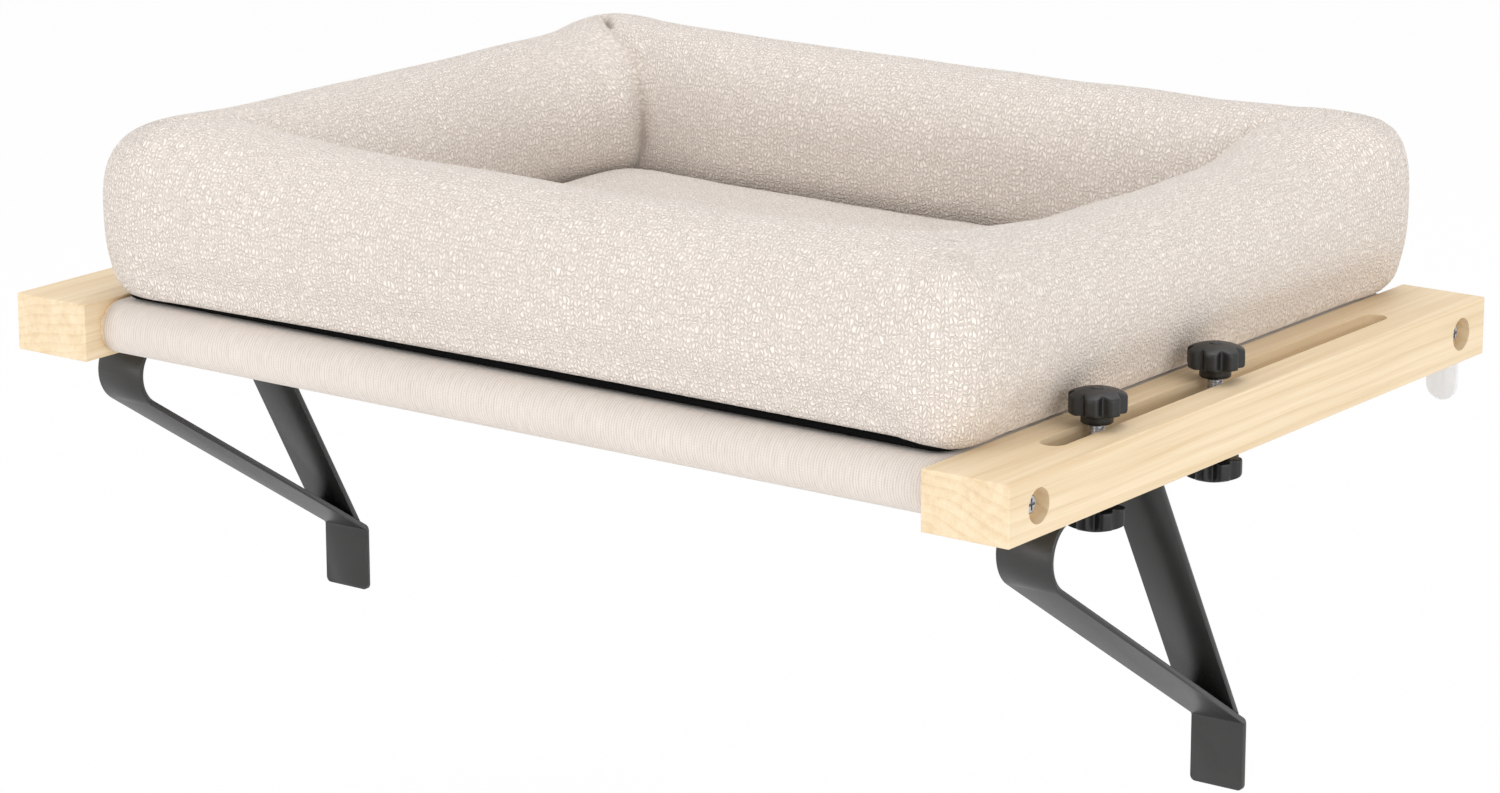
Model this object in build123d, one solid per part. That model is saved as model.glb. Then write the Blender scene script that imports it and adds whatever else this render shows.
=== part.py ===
from build123d import *
import math
import os

# Frame: X across the window, Y from the room to the window, Z up.
# The origin is mid-width, on the wall plane, at the level of the sill that the rails rest on.

# Overall
overall_width = 616.0
wall_to_rail_front = 226.5
running_gap = 0.3
cut_overrun = 2.0

# Rails
rail_width = 48.0
rail_height = 30.0
rail_length = 440.0
rail_edge_radius = 0.7
slot_width = 13.5
slot_end_inset = 66.0
counterbore_diameter = 17.0
counterbore_depth = 8.0

# Cross dowels and their screws
dowel_diameter = 26.0
dowel_end_inset = 24.2
dowel_screw_diameter = 6.0
dowel_screw_head_diameter = 9.6
dowel_screw_head_height = 4.0
dowel_screw_length = 64.0
screw_tip_length = 7.0
screw_tip_radius = 0.3
screw_hole_clearance = 0.05
recess_span = 5.6
recess_slot = 1.3
recess_depth = 2.2
screw_crown_share = 0.33

# Sling cloth
cloth_thickness = 0.8
cloth_ease = 0.05
sleeve_end_gap = 2.4

# Bracket strips
strip_width = 30.0
strip_thickness = 3.0
nose_outer_radius = 20.0
wall_to_nose = 178.5
leg_slope_degrees = 32.8
bend_inner_radius = 2.0
plate_drop = 179.0
flange_tail = 12.0
strip_corner_radius = 3.0
wall_to_brace_top = 85.4
wall_to_brace_foot = 12.5

# Star knobs, studs and inserts
wall_to_rear_knob = 12.5
knob_spacing = 105.0
knob_diameter = 28.5
knob_lobes = 7
first_valley_degrees = 8.0
lobe_height = 8.6
valley_radius = 2.5
valley_centre_radius = 14.5
lobe_corner_radius = 1.2
dome_rise = 3.0
button_diameter = 6.0
button_rise = 0.5
hub_diameter = 15.5
hub_height = 5.0
upper_knob_gap = 1.6
lower_knob_gap = 0.3
stud_diameter = 8.0
stud_hole_diameter = 9.0
stud_grip = 12.0
stud_reach_below_flange = 9.2
stud_clearance = 0.05
stud_chamfer = 1.0
insert_diameter = 11.0
insert_length = 9.0
insert_clearance = 0.02
insert_bore_extra = 2.0

# Sill tabs and their pivot screws
tab_width = 17.5
tab_thickness = 2.5
tab_pivot_to_tip = 43.5
tab_gap = 0.2
tab_screw_diameter = 4.0
tab_screw_head_diameter = 8.5
tab_screw_head_height = 2.6
tab_screw_length = 16.0
tab_pivot_clearance = 0.08
tab_screw_tip = 4.0

# Bed
bed_side_reach = 17.5
bed_front_setback = 10.5
bed_rear_overhang = 2.5
base_thickness = 3.5
base_rail_overlap = 2.5
base_end_inset = 10.0
base_corner_radius = 24.0
soft_gap = 0.3
bolster_width = 88.0
front_height = 85.5
side_rise = 1.5
rear_rise = 5.5
corner_rise = 5.5
side_pull = 2.0
side_foot_draw = 17.5
end_foot_draw = 12.0
corner_foot_draw = 10.0
inner_foot_draw = 12.0
bed_corner_radius = 40.0
bend_inner_lead = 16.0
pad_edge_height = 17.0
pad_shoulder_rise = 4.0
pad_crown = 7.0
pad_belly_inset = 2.5
pad_edge_inset = 7.0
pad_corner_radius = 26.0

# Shares: places within a bolster's section and within the pad's edge
bulge_height_share = 0.5
corner_bulge_height_share = 0.4
bend_rise_share = 0.35
shoulder_rise_share = 0.08
shoulder_pull_share = 0.75
shoulder_station_share = 0.4
pad_belly_share = 0.35
pad_shoulder_inset_share = 0.24
pad_crown_inset_share = 0.58

# Derived places
rail_front_y = -wall_to_rail_front
rail_rear_y = rail_front_y + rail_length
rail_centre_x = (overall_width - rail_width) / 2
rail_inner_x = overall_width / 2 - rail_width
dowel_z = rail_height / 2
front_dowel_y = rail_front_y + dowel_end_inset
rear_dowel_y = rail_rear_y - dowel_end_inset
rear_knob_y = -wall_to_rear_knob
front_knob_y = rear_knob_y - knob_spacing
flange_top_z = -running_gap
flange_bottom_z = flange_top_z - strip_thickness
knob_places = {"front": front_knob_y, "rear": rear_knob_y}
side_places = {"left": -rail_centre_x, "right": rail_centre_x}

os.makedirs("parts", exist_ok=True)


def save(shape, node):
    """Writes one sub-part to its own file."""
    export_step(shape, f"parts/{node}.step")


def at(shape, x, y, z):
    """The shape moved to a place."""
    return Pos(x, y, z) * shape


def rod_x(radius, length):
    """A round bar along X, centred on the origin."""
    return Rot(0, 90, 0) * Cylinder(radius, length)


def rod_y(radius, length):
    """A round bar along Y, from y = 0 forwards to -length."""
    bar = Cylinder(radius, length, align=(Align.CENTER, Align.CENTER, Align.MIN))
    return Rot(90, 0, 0) * bar


def side_profile(points_and_curves):
    """A closed face in the YZ plane from edges drawn in (y, z)."""
    flat = make_face(Wire(points_and_curves))
    return Plane.YZ * flat


def screw_head_recess(depth):
    """The cross recess of a screw head, opening upwards at z = 0."""
    wing = Box(recess_span, recess_slot, depth, align=(Align.CENTER, Align.CENTER, Align.MAX))
    return wing + Rot(0, 0, 90) * wing


def wood_screw(head_diameter, head_height, shank_diameter, length, tip_length):
    """A pan head screw pointing down: the head's underside is at z = 0."""
    head = Cylinder(head_diameter / 2, head_height, align=(Align.CENTER, Align.CENTER, Align.MIN))
    crown_edges = head.edges().group_by(Axis.Z)[-1]
    head = fillet(crown_edges, head_height * screw_crown_share)
    straight = length - tip_length
    shank = Cylinder(shank_diameter / 2, straight, align=(Align.CENTER, Align.CENTER, Align.MAX))
    tip = Cone(screw_tip_radius, shank_diameter / 2, tip_length, align=(Align.CENTER, Align.CENTER, Align.MIN))
    tip = Pos(0, 0, -length) * tip
    recess = Pos(0, 0, head_height) * screw_head_recess(recess_depth)
    return head + shank + tip - recess


# Wooden rails
def right_rail():
    rail = Box(rail_width, rail_length, rail_height, align=(Align.CENTER, Align.MIN, Align.MIN))
    rail = fillet(rail.edges(), rail_edge_radius)
    slot_length = rail_length - 2 * slot_end_inset
    slot = extrude(Rot(0, 0, 90) * SlotOverall(slot_length, slot_width), rail_height + 2 * cut_overrun)
    rail -= at(slot, 0, rail_length / 2, -cut_overrun)
    for y in (dowel_end_inset, rail_length - dowel_end_inset):
        bore_length = counterbore_depth + cut_overrun
        bore = rod_x(counterbore_diameter / 2, bore_length)
        rail -= at(bore, rail_width / 2 - counterbore_depth + bore_length / 2, y, dowel_z)
        shank_hole = rod_x(dowel_screw_diameter / 2 + screw_hole_clearance, rail_width + cut_overrun)
        rail -= at(shank_hole, 0, y, dowel_z)
    pilot = rod_y(tab_screw_diameter / 2 + screw_hole_clearance, tab_screw_length + cut_overrun)
    rail -= at(pilot, 0, rail_length + cut_overrun, dowel_z)
    return at(rail, rail_centre_x, rail_front_y, 0)


# Cross dowels
def dowel(y):
    span = 2 * rail_inner_x
    bar = rod_x(dowel_diameter / 2, span)
    grip = dowel_screw_length - (rail_width - counterbore_depth)
    for side in (-1, 1):
        pilot = rod_x(dowel_screw_diameter / 2 + screw_hole_clearance, 2 * (grip + cut_overrun))
        bar -= at(pilot, side * span / 2, 0, 0)
    return at(bar, 0, y, dowel_z)


def dowel_screws():
    seat_x = overall_width / 2 - counterbore_depth
    screw = wood_screw(
        dowel_screw_head_diameter,
        dowel_screw_head_height,
        dowel_screw_diameter,
        dowel_screw_length,
        screw_tip_length,
    )
    screws = []
    for y in (front_dowel_y, rear_dowel_y):
        screws.append(Pos(seat_x, y, dowel_z) * Rot(0, 90, 0) * screw)
        screws.append(Pos(-seat_x, y, dowel_z) * Rot(0, -90, 0) * screw)
    return Compound(children=[s.solid() for s in screws])


# Sling: two sleeves and the deck between them
def sling():
    sleeve_inner = dowel_diameter / 2 + cloth_ease
    sleeve_outer = sleeve_inner + cloth_thickness
    deck_length = rear_dowel_y - front_dowel_y
    deck = Pos(front_dowel_y + deck_length / 2, dowel_z + sleeve_outer - cloth_thickness / 2) * Rectangle(
        deck_length, cloth_thickness
    )
    profile = deck
    for y in (front_dowel_y, rear_dowel_y):
        profile += Pos(y, dowel_z) * Circle(sleeve_outer)
    for y in (front_dowel_y, rear_dowel_y):
        profile -= Pos(y, dowel_z) * Circle(sleeve_inner)
    cloth_width = 2 * (rail_inner_x - sleeve_end_gap)
    body = extrude(Plane.YZ * profile, cloth_width)
    return at(body, -cloth_width / 2, 0, 0)


# Steel brackets
leg_angle = math.radians(leg_slope_degrees)
leg_along = Vector(math.cos(leg_angle), -math.sin(leg_angle))
leg_normal = Vector(-math.sin(leg_angle), -math.cos(leg_angle))
nose_inner_radius = nose_outer_radius - strip_thickness
nose_centre = Vector(nose_outer_radius - wall_to_nose, flange_top_z - nose_outer_radius)
leg_top_start = nose_centre + leg_normal * nose_inner_radius
flange_end_y = rear_knob_y + flange_tail


def leg_top_z(y):
    """Height of the leg's upper face at a given y."""
    return leg_top_start.Y - (y - leg_top_start.X) * math.tan(leg_angle)


def bracket_strip():
    """Flange, round nose, sloping leg and wall plate, bent from one strip, at x = 0."""
    nose_turn = 180 - leg_slope_degrees
    bend_turn = 90 - leg_slope_degrees
    bend_outer_radius = bend_inner_radius + strip_thickness
    leg_low_start = nose_centre + leg_normal * nose_outer_radius
    bend_y = -strip_thickness - bend_inner_radius
    leg_run = (bend_y + bend_inner_radius * math.sin(leg_angle) - leg_low_start.X) / math.cos(leg_angle)
    bend_centre = leg_low_start + leg_along * leg_run + leg_normal * bend_inner_radius
    leg_low_end = bend_centre - leg_normal * bend_inner_radius
    leg_top_end = bend_centre - leg_normal * bend_outer_radius
    plate_foot_z = flange_top_z - plate_drop
    outline = [
        Line((flange_end_y, flange_top_z), (nose_centre.X, flange_top_z)),
        CenterArc(nose_centre, nose_outer_radius, 90, nose_turn),
        Line(leg_low_start, leg_low_end),
        CenterArc(bend_centre, bend_inner_radius, bend_turn, -bend_turn),
        Line((-strip_thickness, bend_centre.Y), (-strip_thickness, plate_foot_z)),
        Line((-strip_thickness, plate_foot_z), (0, plate_foot_z)),
        Line((0, plate_foot_z), (0, bend_centre.Y)),
        CenterArc(bend_centre, bend_outer_radius, 0, bend_turn),
        Line(leg_top_end, leg_top_start),
        CenterArc(nose_centre, nose_inner_radius, 90 + nose_turn, -nose_turn),
        Line((nose_centre.X, flange_bottom_z), (flange_end_y, flange_bottom_z)),
        Line((flange_end_y, flange_bottom_z), (flange_end_y, flange_top_z)),
    ]
    strip = extrude(side_profile(outline), strip_width)
    strip = at(strip, -strip_width / 2, 0, 0)
    plate_corners = strip.edges().filter_by(Axis.Y).group_by(Axis.Z)[0]
    tail_corners = strip.edges().filter_by(Axis.Z).group_by(Axis.Z)[-1]
    strip = fillet(plate_corners + tail_corners, strip_corner_radius)
    for y in knob_places.values():
        hole = Cylinder(stud_hole_diameter / 2, strip_thickness + 2 * cut_overrun)
        strip -= at(hole, 0, y, (flange_top_z + flange_bottom_z) / 2)
    return strip


def bracket_brace():
    """The straight strip from the flange down to the leg, welded at both ends, at x = 0."""
    top = Vector(-wall_to_brace_top, flange_bottom_z)
    foot = Vector(-wall_to_brace_foot, leg_top_z(-wall_to_brace_foot))
    along = (foot - top).normalized()
    level_width = strip_thickness / abs(along.Y)
    back_top = top + Vector(level_width, 0)
    slope = along.Y / along.X
    back_foot_y = (leg_top_start.Y + leg_top_start.X * math.tan(leg_angle) - back_top.Y + slope * back_top.X) / (
        slope + math.tan(leg_angle)
    )
    back_foot = Vector(back_foot_y, leg_top_z(back_foot_y))
    outline = Polyline(top, back_top, back_foot, foot, close=True)
    brace = extrude(side_profile(outline.edges()), strip_width)
    return at(brace, -strip_width / 2, 0, 0)


# Star knobs: hub face at z = 0, lobes and dome above it
def star_knob():
    outline = Circle(knob_diameter / 2)
    valleys = PolarLocations(valley_centre_radius, knob_lobes, first_valley_degrees)
    outline -= valleys * Circle(valley_radius)
    outline = fillet(outline.vertices(), lobe_corner_radius)
    rim_z = hub_height + lobe_height
    prism = extrude(outline, lobe_height + dome_rise)
    prism = Pos(0, 0, hub_height) * prism
    rim = knob_diameter / 2
    dome_radius = (rim**2 + dome_rise**2) / (2 * dome_rise)
    ball = Pos(0, 0, rim_z + dome_rise - dome_radius) * Sphere(dome_radius)
    head = prism & ball
    hub = Cylinder(hub_diameter / 2, hub_height, align=(Align.CENTER, Align.CENTER, Align.MIN))
    button_top = rim_z + dome_rise + button_rise
    button = Cylinder(
        button_diameter / 2, button_top - hub_height, align=(Align.CENTER, Align.CENTER, Align.MIN)
    )
    return head + hub + Pos(0, 0, hub_height) * button


def blind_bore(radius, depth):
    """A bore from below the hub face up to its depth."""
    bore = Cylinder(radius, depth + cut_overrun, align=(Align.CENTER, Align.CENTER, Align.MIN))
    return Pos(0, 0, -cut_overrun) * bore


upper_hub_z = rail_height + upper_knob_gap
lower_hub_z = flange_bottom_z - lower_knob_gap
stud_top_z = upper_hub_z + stud_grip
stud_foot_z = flange_bottom_z - stud_reach_below_flange


def upper_knob():
    knob = star_knob() - blind_bore(stud_diameter / 2 + stud_clearance, stud_grip + stud_clearance)
    return Pos(0, 0, upper_hub_z) * knob


def lower_knob():
    knob = star_knob() - blind_bore(insert_diameter / 2 + insert_clearance, insert_length + insert_clearance)
    knob -= blind_bore(stud_diameter / 2 + stud_clearance, insert_length + insert_bore_extra)
    return Pos(0, 0, lower_hub_z) * Rot(180, 0, 0) * knob


def lower_insert():
    sleeve = Cylinder(insert_diameter / 2, insert_length, align=(Align.CENTER, Align.CENTER, Align.MAX))
    sleeve -= Cylinder(stud_diameter / 2 + stud_clearance, 2 * insert_length + cut_overrun)
    return Pos(0, 0, lower_hub_z) * sleeve


def stud():
    bar = Cylinder(stud_diameter / 2, stud_top_z - stud_foot_z, align=(Align.CENTER, Align.CENTER, Align.MIN))
    bar = chamfer(bar.edges().group_by(Axis.Z)[0], stud_chamfer)
    return Pos(0, 0, stud_foot_z) * bar


# Sill tabs: a plate with round ends, turning on one screw in the rail's rear end
def sill_tab():
    straight = tab_pivot_to_tip - tab_width / 2
    outline = Pos(0, -straight / 2) * Rectangle(tab_width, straight)
    outline += Circle(tab_width / 2)
    outline += Pos(0, -straight) * Circle(tab_width / 2)
    outline -= Circle(tab_screw_diameter / 2 + tab_pivot_clearance)
    plate = extrude(Plane.XZ * outline, -tab_thickness)
    return at(plate, 0, rail_rear_y + tab_gap, dowel_z)


def tab_screws():
    screw = wood_screw(
        tab_screw_head_diameter,
        tab_screw_head_height,
        tab_screw_diameter,
        tab_screw_length + tab_thickness,
        tab_screw_tip,
    )
    seat_y = rail_rear_y + tab_thickness + 2 * tab_gap
    screws = [Pos(x, seat_y, dowel_z) * Rot(-90, 0, 0) * screw for x in side_places.values()]
    return Compound(children=[s.solid() for s in screws])


# Bed: a black underside, four bolsters joined on mitres and an inner pad
base_bottom_z = rail_height + running_gap
base_top_z = base_bottom_z + base_thickness
bed_half_width = rail_inner_x + bed_side_reach
bed_half_depth = (rail_length - bed_front_setback + bed_rear_overhang) / 2
bed_centre_y = rail_front_y + bed_front_setback + bed_half_depth
side_height = front_height + side_rise
rear_height = front_height + rear_rise
corner_height = front_height + corner_rise


def bed_base():
    half_x = rail_inner_x + base_rail_overlap
    half_y = bed_half_depth - base_end_inset
    outline = RectangleRounded(2 * half_x, 2 * half_y, base_corner_radius)
    return at(extrude(outline, base_thickness), 0, bed_centre_y, base_bottom_z)


def foot_curve_mid(bulge_z, draw):
    """How far the side has drawn in half way between the bulge and the foot."""
    radius = (bulge_z**2 + draw**2) / (2 * draw)
    return radius - math.sqrt(radius**2 - (bulge_z / 2) ** 2)


def bolster_points(height, pull, foot_draw, bulge_share):
    """Points of a bolster's section as (distance in from the outer side, height above its foot)."""
    bulge_z = bulge_share * height
    outer = pull
    inner = bolster_width - pull
    ridge = bolster_width / 2
    quarter = math.sqrt(2) / 2
    upper_mid_z = bulge_z + (height - bulge_z) * quarter
    return [
        (outer + foot_draw, 0),
        (outer + foot_curve_mid(bulge_z, foot_draw), bulge_z / 2),
        (outer, bulge_z),
        (ridge - (ridge - outer) * quarter, upper_mid_z),
        (ridge, height),
        (ridge + (inner - ridge) * quarter, upper_mid_z),
        (inner, bulge_z),
        (inner - foot_curve_mid(bulge_z, inner_foot_draw), bulge_z / 2),
        (inner - inner_foot_draw, 0),
    ]


def bolster_section(place, points):
    """A closed wire of four arcs and the flat underside, at one station of the bolster."""
    spots = [place(inward, z) for inward, z in points]
    edges = [ThreePointArc(spots[i], spots[i + 1], spots[i + 2]) for i in (0, 2, 4, 6)]
    edges.append(Line(spots[8], spots[0]))
    return Wire(edges)


def bolster(half_run, half_across, height, foot_draw):
    """A bolster along X on the side of -Y, mitred at both ends, about the bed's middle."""

    def station(side, outer_back, outer_in, inner_back):
        """A section plane given by how far back from the end its outer and inner edges lie."""

        def place(inward, z):
            along = inward / bolster_width
            back = outer_back + (inner_back - outer_back) * along
            drawn = outer_in + (bolster_width - outer_in) * along
            return Vector(side * (half_run - back), drawn - half_across, z)

        return place

    def turned(side, turn, inner_back):
        """A station on the rounded corner, turned by an angle from the square one."""
        outer_back = bed_corner_radius * (1 - math.sin(turn))
        outer_in = bed_corner_radius * (1 - math.cos(turn))
        return station(side, outer_back + soft_gap / 2, outer_in, inner_back + soft_gap / 2)

    rise = corner_height - height
    bend_end = bolster_width + bend_inner_lead
    mid_bend_end = bolster_width + bend_inner_lead / 3
    shoulder_back = (1 - shoulder_station_share) * half_run
    bulge = bulge_height_share
    mid_bulge = (bulge_height_share + corner_bulge_height_share) / 2
    mid_draw = (foot_draw + corner_foot_draw) / 2
    mid_height = height + rise * (1 + bend_rise_share) / 2
    shoulder_height = height + rise * shoulder_rise_share
    shoulder_pull = side_pull * shoulder_pull_share
    corner_points = bolster_points(corner_height, 0, corner_foot_draw, corner_bulge_height_share)
    mid_points = bolster_points(mid_height, 0, mid_draw, mid_bulge)
    bend_points = bolster_points(height + rise * bend_rise_share, 0, foot_draw, bulge)
    shoulder_points = bolster_points(shoulder_height, shoulder_pull, foot_draw, bulge)
    middle_points = bolster_points(height, side_pull, foot_draw, bulge)

    def half(side):
        return [
            bolster_section(turned(side, math.pi / 4, bolster_width), corner_points),
            bolster_section(turned(side, math.pi / 8, mid_bend_end), mid_points),
            bolster_section(turned(side, 0, bend_end), bend_points),
            bolster_section(station(side, shoulder_back, 0, shoulder_back), shoulder_points),
        ]

    middle = bolster_section(station(1, half_run, 0, half_run), middle_points)
    sections = half(-1) + [middle] + list(reversed(half(1)))
    return Solid.make_loft(sections, False)


def bed_bolsters():
    """The four bolsters by side."""
    front = bolster(bed_half_width, bed_half_depth, front_height, end_foot_draw)
    rear = bolster(bed_half_width, bed_half_depth, rear_height, end_foot_draw)
    side = bolster(bed_half_depth, bed_half_width, side_height, side_foot_draw)
    turned = {
        "front": front,
        "rear": Rot(0, 0, 180) * rear,
        "left": Rot(0, 0, -90) * side,
        "right": Rot(0, 0, 90) * side,
    }
    foot_z = base_top_z + soft_gap
    return {name: at(solid, 0, bed_centre_y, foot_z) for name, solid in turned.items()}


def bed_pad():
    """A crowned pad: rounded rectangles that swell out, then draw in to the crown."""
    half_x = bed_half_width - bolster_width - soft_gap
    half_y = bed_half_depth - bolster_width - soft_gap
    levels = [
        (0, pad_belly_inset),
        (pad_edge_height * pad_belly_share, 0),
        (pad_edge_height, pad_edge_inset),
        (pad_edge_height + pad_shoulder_rise, half_y * pad_shoulder_inset_share),
        (pad_edge_height + pad_crown, half_y * pad_crown_inset_share),
    ]
    sections = []
    for z, inset in levels:
        corner = pad_corner_radius * (1 - inset / half_y)
        outline = RectangleRounded(2 * (half_x - inset), 2 * (half_y - inset), corner)
        sections.append(Pos(0, bed_centre_y, base_top_z + soft_gap + z) * outline)
    return loft(sections, ruled=True)


rail = right_rail()
save(rail, "right_rail")
save(mirror(rail, Plane.YZ), "left_rail")
save(dowel(front_dowel_y), "front_dowel")
save(dowel(rear_dowel_y), "rear_dowel")
save(dowel_screws(), "dowel_screws")
save(sling(), "sling")
save(tab_screws(), "tab_screws")

strip = bracket_strip()
brace = bracket_brace()
for side, x in side_places.items():
    save(at(strip, x, 0, 0), f"{side}_bracket_strip")
    save(at(brace, x, 0, 0), f"{side}_bracket_brace")
    save(at(sill_tab(), x, 0, 0), f"{side}_sill_tab")
    for place, y in knob_places.items():
        save(at(stud(), x, y, 0), f"{side}_{place}_stud")
        save(at(upper_knob(), x, y, 0), f"{side}_{place}_upper_knob")
        save(at(lower_knob(), x, y, 0), f"{side}_{place}_lower_knob")
        save(at(lower_insert(), x, y, 0), f"{side}_{place}_insert")

save(bed_base(), "bed_base")
save(bed_pad(), "bed_pad")
for side, solid in bed_bolsters().items():
    save(solid, f"bed_{side}_bolster")
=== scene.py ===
"""Cloth, wood, paint and fittings for a window mounted cat perch, with its studio and camera."""

import math
from contextlib import contextmanager

import bmesh
import bpy
import numpy as np
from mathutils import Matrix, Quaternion, Vector


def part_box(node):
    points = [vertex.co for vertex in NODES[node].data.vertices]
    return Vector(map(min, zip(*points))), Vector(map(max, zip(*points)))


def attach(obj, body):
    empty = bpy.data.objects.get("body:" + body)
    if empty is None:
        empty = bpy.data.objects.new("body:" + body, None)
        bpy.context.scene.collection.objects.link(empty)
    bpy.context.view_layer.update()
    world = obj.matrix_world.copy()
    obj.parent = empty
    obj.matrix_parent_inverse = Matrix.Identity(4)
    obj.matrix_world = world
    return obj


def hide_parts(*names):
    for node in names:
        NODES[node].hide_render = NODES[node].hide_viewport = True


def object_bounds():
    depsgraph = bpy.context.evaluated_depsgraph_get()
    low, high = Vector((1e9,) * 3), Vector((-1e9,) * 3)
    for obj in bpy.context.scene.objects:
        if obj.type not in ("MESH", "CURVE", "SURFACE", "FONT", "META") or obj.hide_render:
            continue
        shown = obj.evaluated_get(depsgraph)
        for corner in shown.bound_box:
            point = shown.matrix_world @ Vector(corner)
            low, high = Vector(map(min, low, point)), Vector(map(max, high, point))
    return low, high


bl_info = {
    "name": "Window Cat Perch",
    "version": (1, 0, 0),
    "blender": (4, 5, 0),
    "location": "3D View > Sidebar > Perch",
    "description": "Dresses the packed frame of a window mounted cat perch",
    "category": "Object",
}

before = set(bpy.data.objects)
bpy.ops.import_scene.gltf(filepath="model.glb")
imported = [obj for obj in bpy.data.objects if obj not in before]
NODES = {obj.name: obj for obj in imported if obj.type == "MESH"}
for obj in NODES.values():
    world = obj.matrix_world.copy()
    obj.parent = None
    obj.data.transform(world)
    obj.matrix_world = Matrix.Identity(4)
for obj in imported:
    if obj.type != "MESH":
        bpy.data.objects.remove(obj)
SOLIDS_BOX = [list(corner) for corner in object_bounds()]

SIDES = ("left", "right")
PLACES = ("front", "rear")

# Where the two knobs of a rail stand, along it
KNOB_Y = {"front": -0.1175, "rear": -0.0125}

# The bed as the solids give it, in metres, about its middle at x = 0, y = 0
BED_HALF_X = 0.2775
BED_HALF_Y = 0.216
BED_FOOT_Z = 0.0341
BOLSTER_WIDTH = 0.088
BED_CORNER = 0.040
PAD_EDGE = 0.017
PAD_CROWN = 0.0212
PAD_CORNER = 0.013
# How far the pad's form reaches under the bolsters' swell, as its cover draws it back in
PAD_REACH = 0.0072

# Heights of the stuffed ridge above the bed's foot, in the middle of each side and at each corner
FRONT_RIDGE = 0.0846
RIGHT_RIDGE = 0.0797
REAR_RIDGE = 0.0907
LEFT_RIDGE = 0.0860
FRONT_LEFT_RIDGE = 0.0878
FRONT_RIGHT_RIDGE = 0.0864
REAR_RIGHT_RIDGE = 0.0892
REAR_LEFT_RIDGE = 0.0907

# Where the cover's foot lies, in from the bed's widest outline: along front and rear, at the sides,
# at the corners and round the well
FOOT_IN_FRONT = 0.013
FOOT_IN_SIDE = 0.0175
FOOT_IN_CORNER = 0.0100
FOOT_IN_WELL = 0.013

# What the swelling cover loses in height at the ridge, and in reach at the corners
RIDGE_SAG = 0.0007
CORNER_SAG = 0.0010

# How far the hem hangs below the foot, along the front edge from left to right, and elsewhere
HEM_PLACES = (-0.260, -0.130, -0.040, 0.015, 0.230, 0.255)
HEM_DROPS = (0.0040, 0.0023, 0.0015, 0.0009, 0.0009, 0.0040)
HEM_DROP = 0.0043

# The tucks sewn into the cover's corners: the corner's signs of x and y, where the tuck starts and
# ends in along the mitre, its depth and its half width
TUCKS = (
    (-1, 1, 0.042, 0.100, 0.0034, 0.0034),
    (-1, 1, 0.040, 0.058, 0.0034, 0.0020),
    (-1, -1, 0.033, 0.054, 0.0020, 0.0021),
    (-1, -1, 0.060, 0.100, 0.0024, 0.0036),
    (1, -1, 0.070, 0.100, 0.0022, 0.0036),
    (1, 1, 0.048, 0.100, 0.0026, 0.0036),
    (1, 1, 0.043, 0.046, 0.0018, 0.0014),
)
# The spot where the front right corner is pinched in
PINCH_X, PINCH_Y = 0.2355, -0.1646

WHITE = (1.0, 1.0, 1.0, 1.0)


# Node graphs ---------------------------------------------------------------


def operator(operation, reflected=False):
    """A Python operator that adds its Math node."""

    def apply(self, other):
        values = (other, self) if reflected else (self, other)
        return self.graph.maths(operation, *values)

    return apply


class Signal:
    """A node's output that can stand in a Python sum; each sum adds its Math node."""

    __add__, __radd__ = operator("ADD"), operator("ADD", True)
    __sub__, __rsub__ = operator("SUBTRACT"), operator("SUBTRACT", True)
    __mul__, __rmul__ = operator("MULTIPLY"), operator("MULTIPLY", True)
    __truediv__, __rtruediv__ = operator("DIVIDE"), operator("DIVIDE", True)
    __pow__ = operator("POWER")

    def __init__(self, graph, socket):
        self.graph = graph
        self.socket = socket

    def math(self, operation, *others):
        """The Math node for an operation on this and other values."""
        return self.graph.maths(operation, self, *others)

    def __neg__(self):
        return self.math("MULTIPLY", -1.0)

    def __abs__(self):
        return self.math("ABSOLUTE")


class Graph:
    """A node tree with one method that adds any node."""

    def __init__(self, tree):
        self.tree = tree

    def node(self, kind, settings=None, inputs=None, output=0):
        """Adds a node: its settings first, then the values or links of its sockets."""
        made = self.tree.nodes.new(kind)
        for name, value in (settings or {}).items():
            if name == "curve":
                self.set_curve(made.mapping, value)
            else:
                setattr(made, name, value)
        for key, value in (inputs or {}).items():
            if isinstance(value, Signal):
                self.tree.links.new(value.socket, made.inputs[key])
            else:
                made.inputs[key].default_value = value
        if not made.outputs:
            return made
        return Signal(self, made.outputs[output])

    def set_curve(self, mapping, points):
        """Gives a float curve straight runs between its points."""
        mapping.use_clip = False
        curve = mapping.curves[0]
        for index, (x, y) in enumerate(points):
            if index < len(curve.points):
                point = curve.points[index]
                point.location = (x, y)
            else:
                point = curve.points.new(x, y)
            point.handle_type = "VECTOR"
        mapping.update()

    def maths(self, operation, *values):
        """A Math node."""
        return self.node("ShaderNodeMath", {"operation": operation}, dict(enumerate(values)))

    def blend(self, factor, first, second):
        """A colour between two colours."""
        settings = {"data_type": "RGBA"}
        return self.node("ShaderNodeMix", settings, {0: factor, 6: first, 7: second}, 2)

    def span(self, value, low, high, to_low=0.0, to_high=1.0, smooth=True):
        """A value carried from one range to another and held at its ends."""
        settings = {"interpolation_type": "SMOOTHSTEP" if smooth else "LINEAR"}
        inputs = {0: value, 1: low, 2: high, 3: to_low, 4: to_high}
        return self.node("ShaderNodeMapRange", settings, inputs)

    def parts(self, vector):
        """The three values of a vector."""
        first = self.node("ShaderNodeSeparateXYZ", None, {0: vector})
        outputs = first.socket.node.outputs
        return [Signal(self, outputs[i]) for i in range(3)]

    def vector(self, x, y, z):
        """A vector from three values."""
        return self.node("ShaderNodeCombineXYZ", None, {0: x, 1: y, 2: z})


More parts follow.
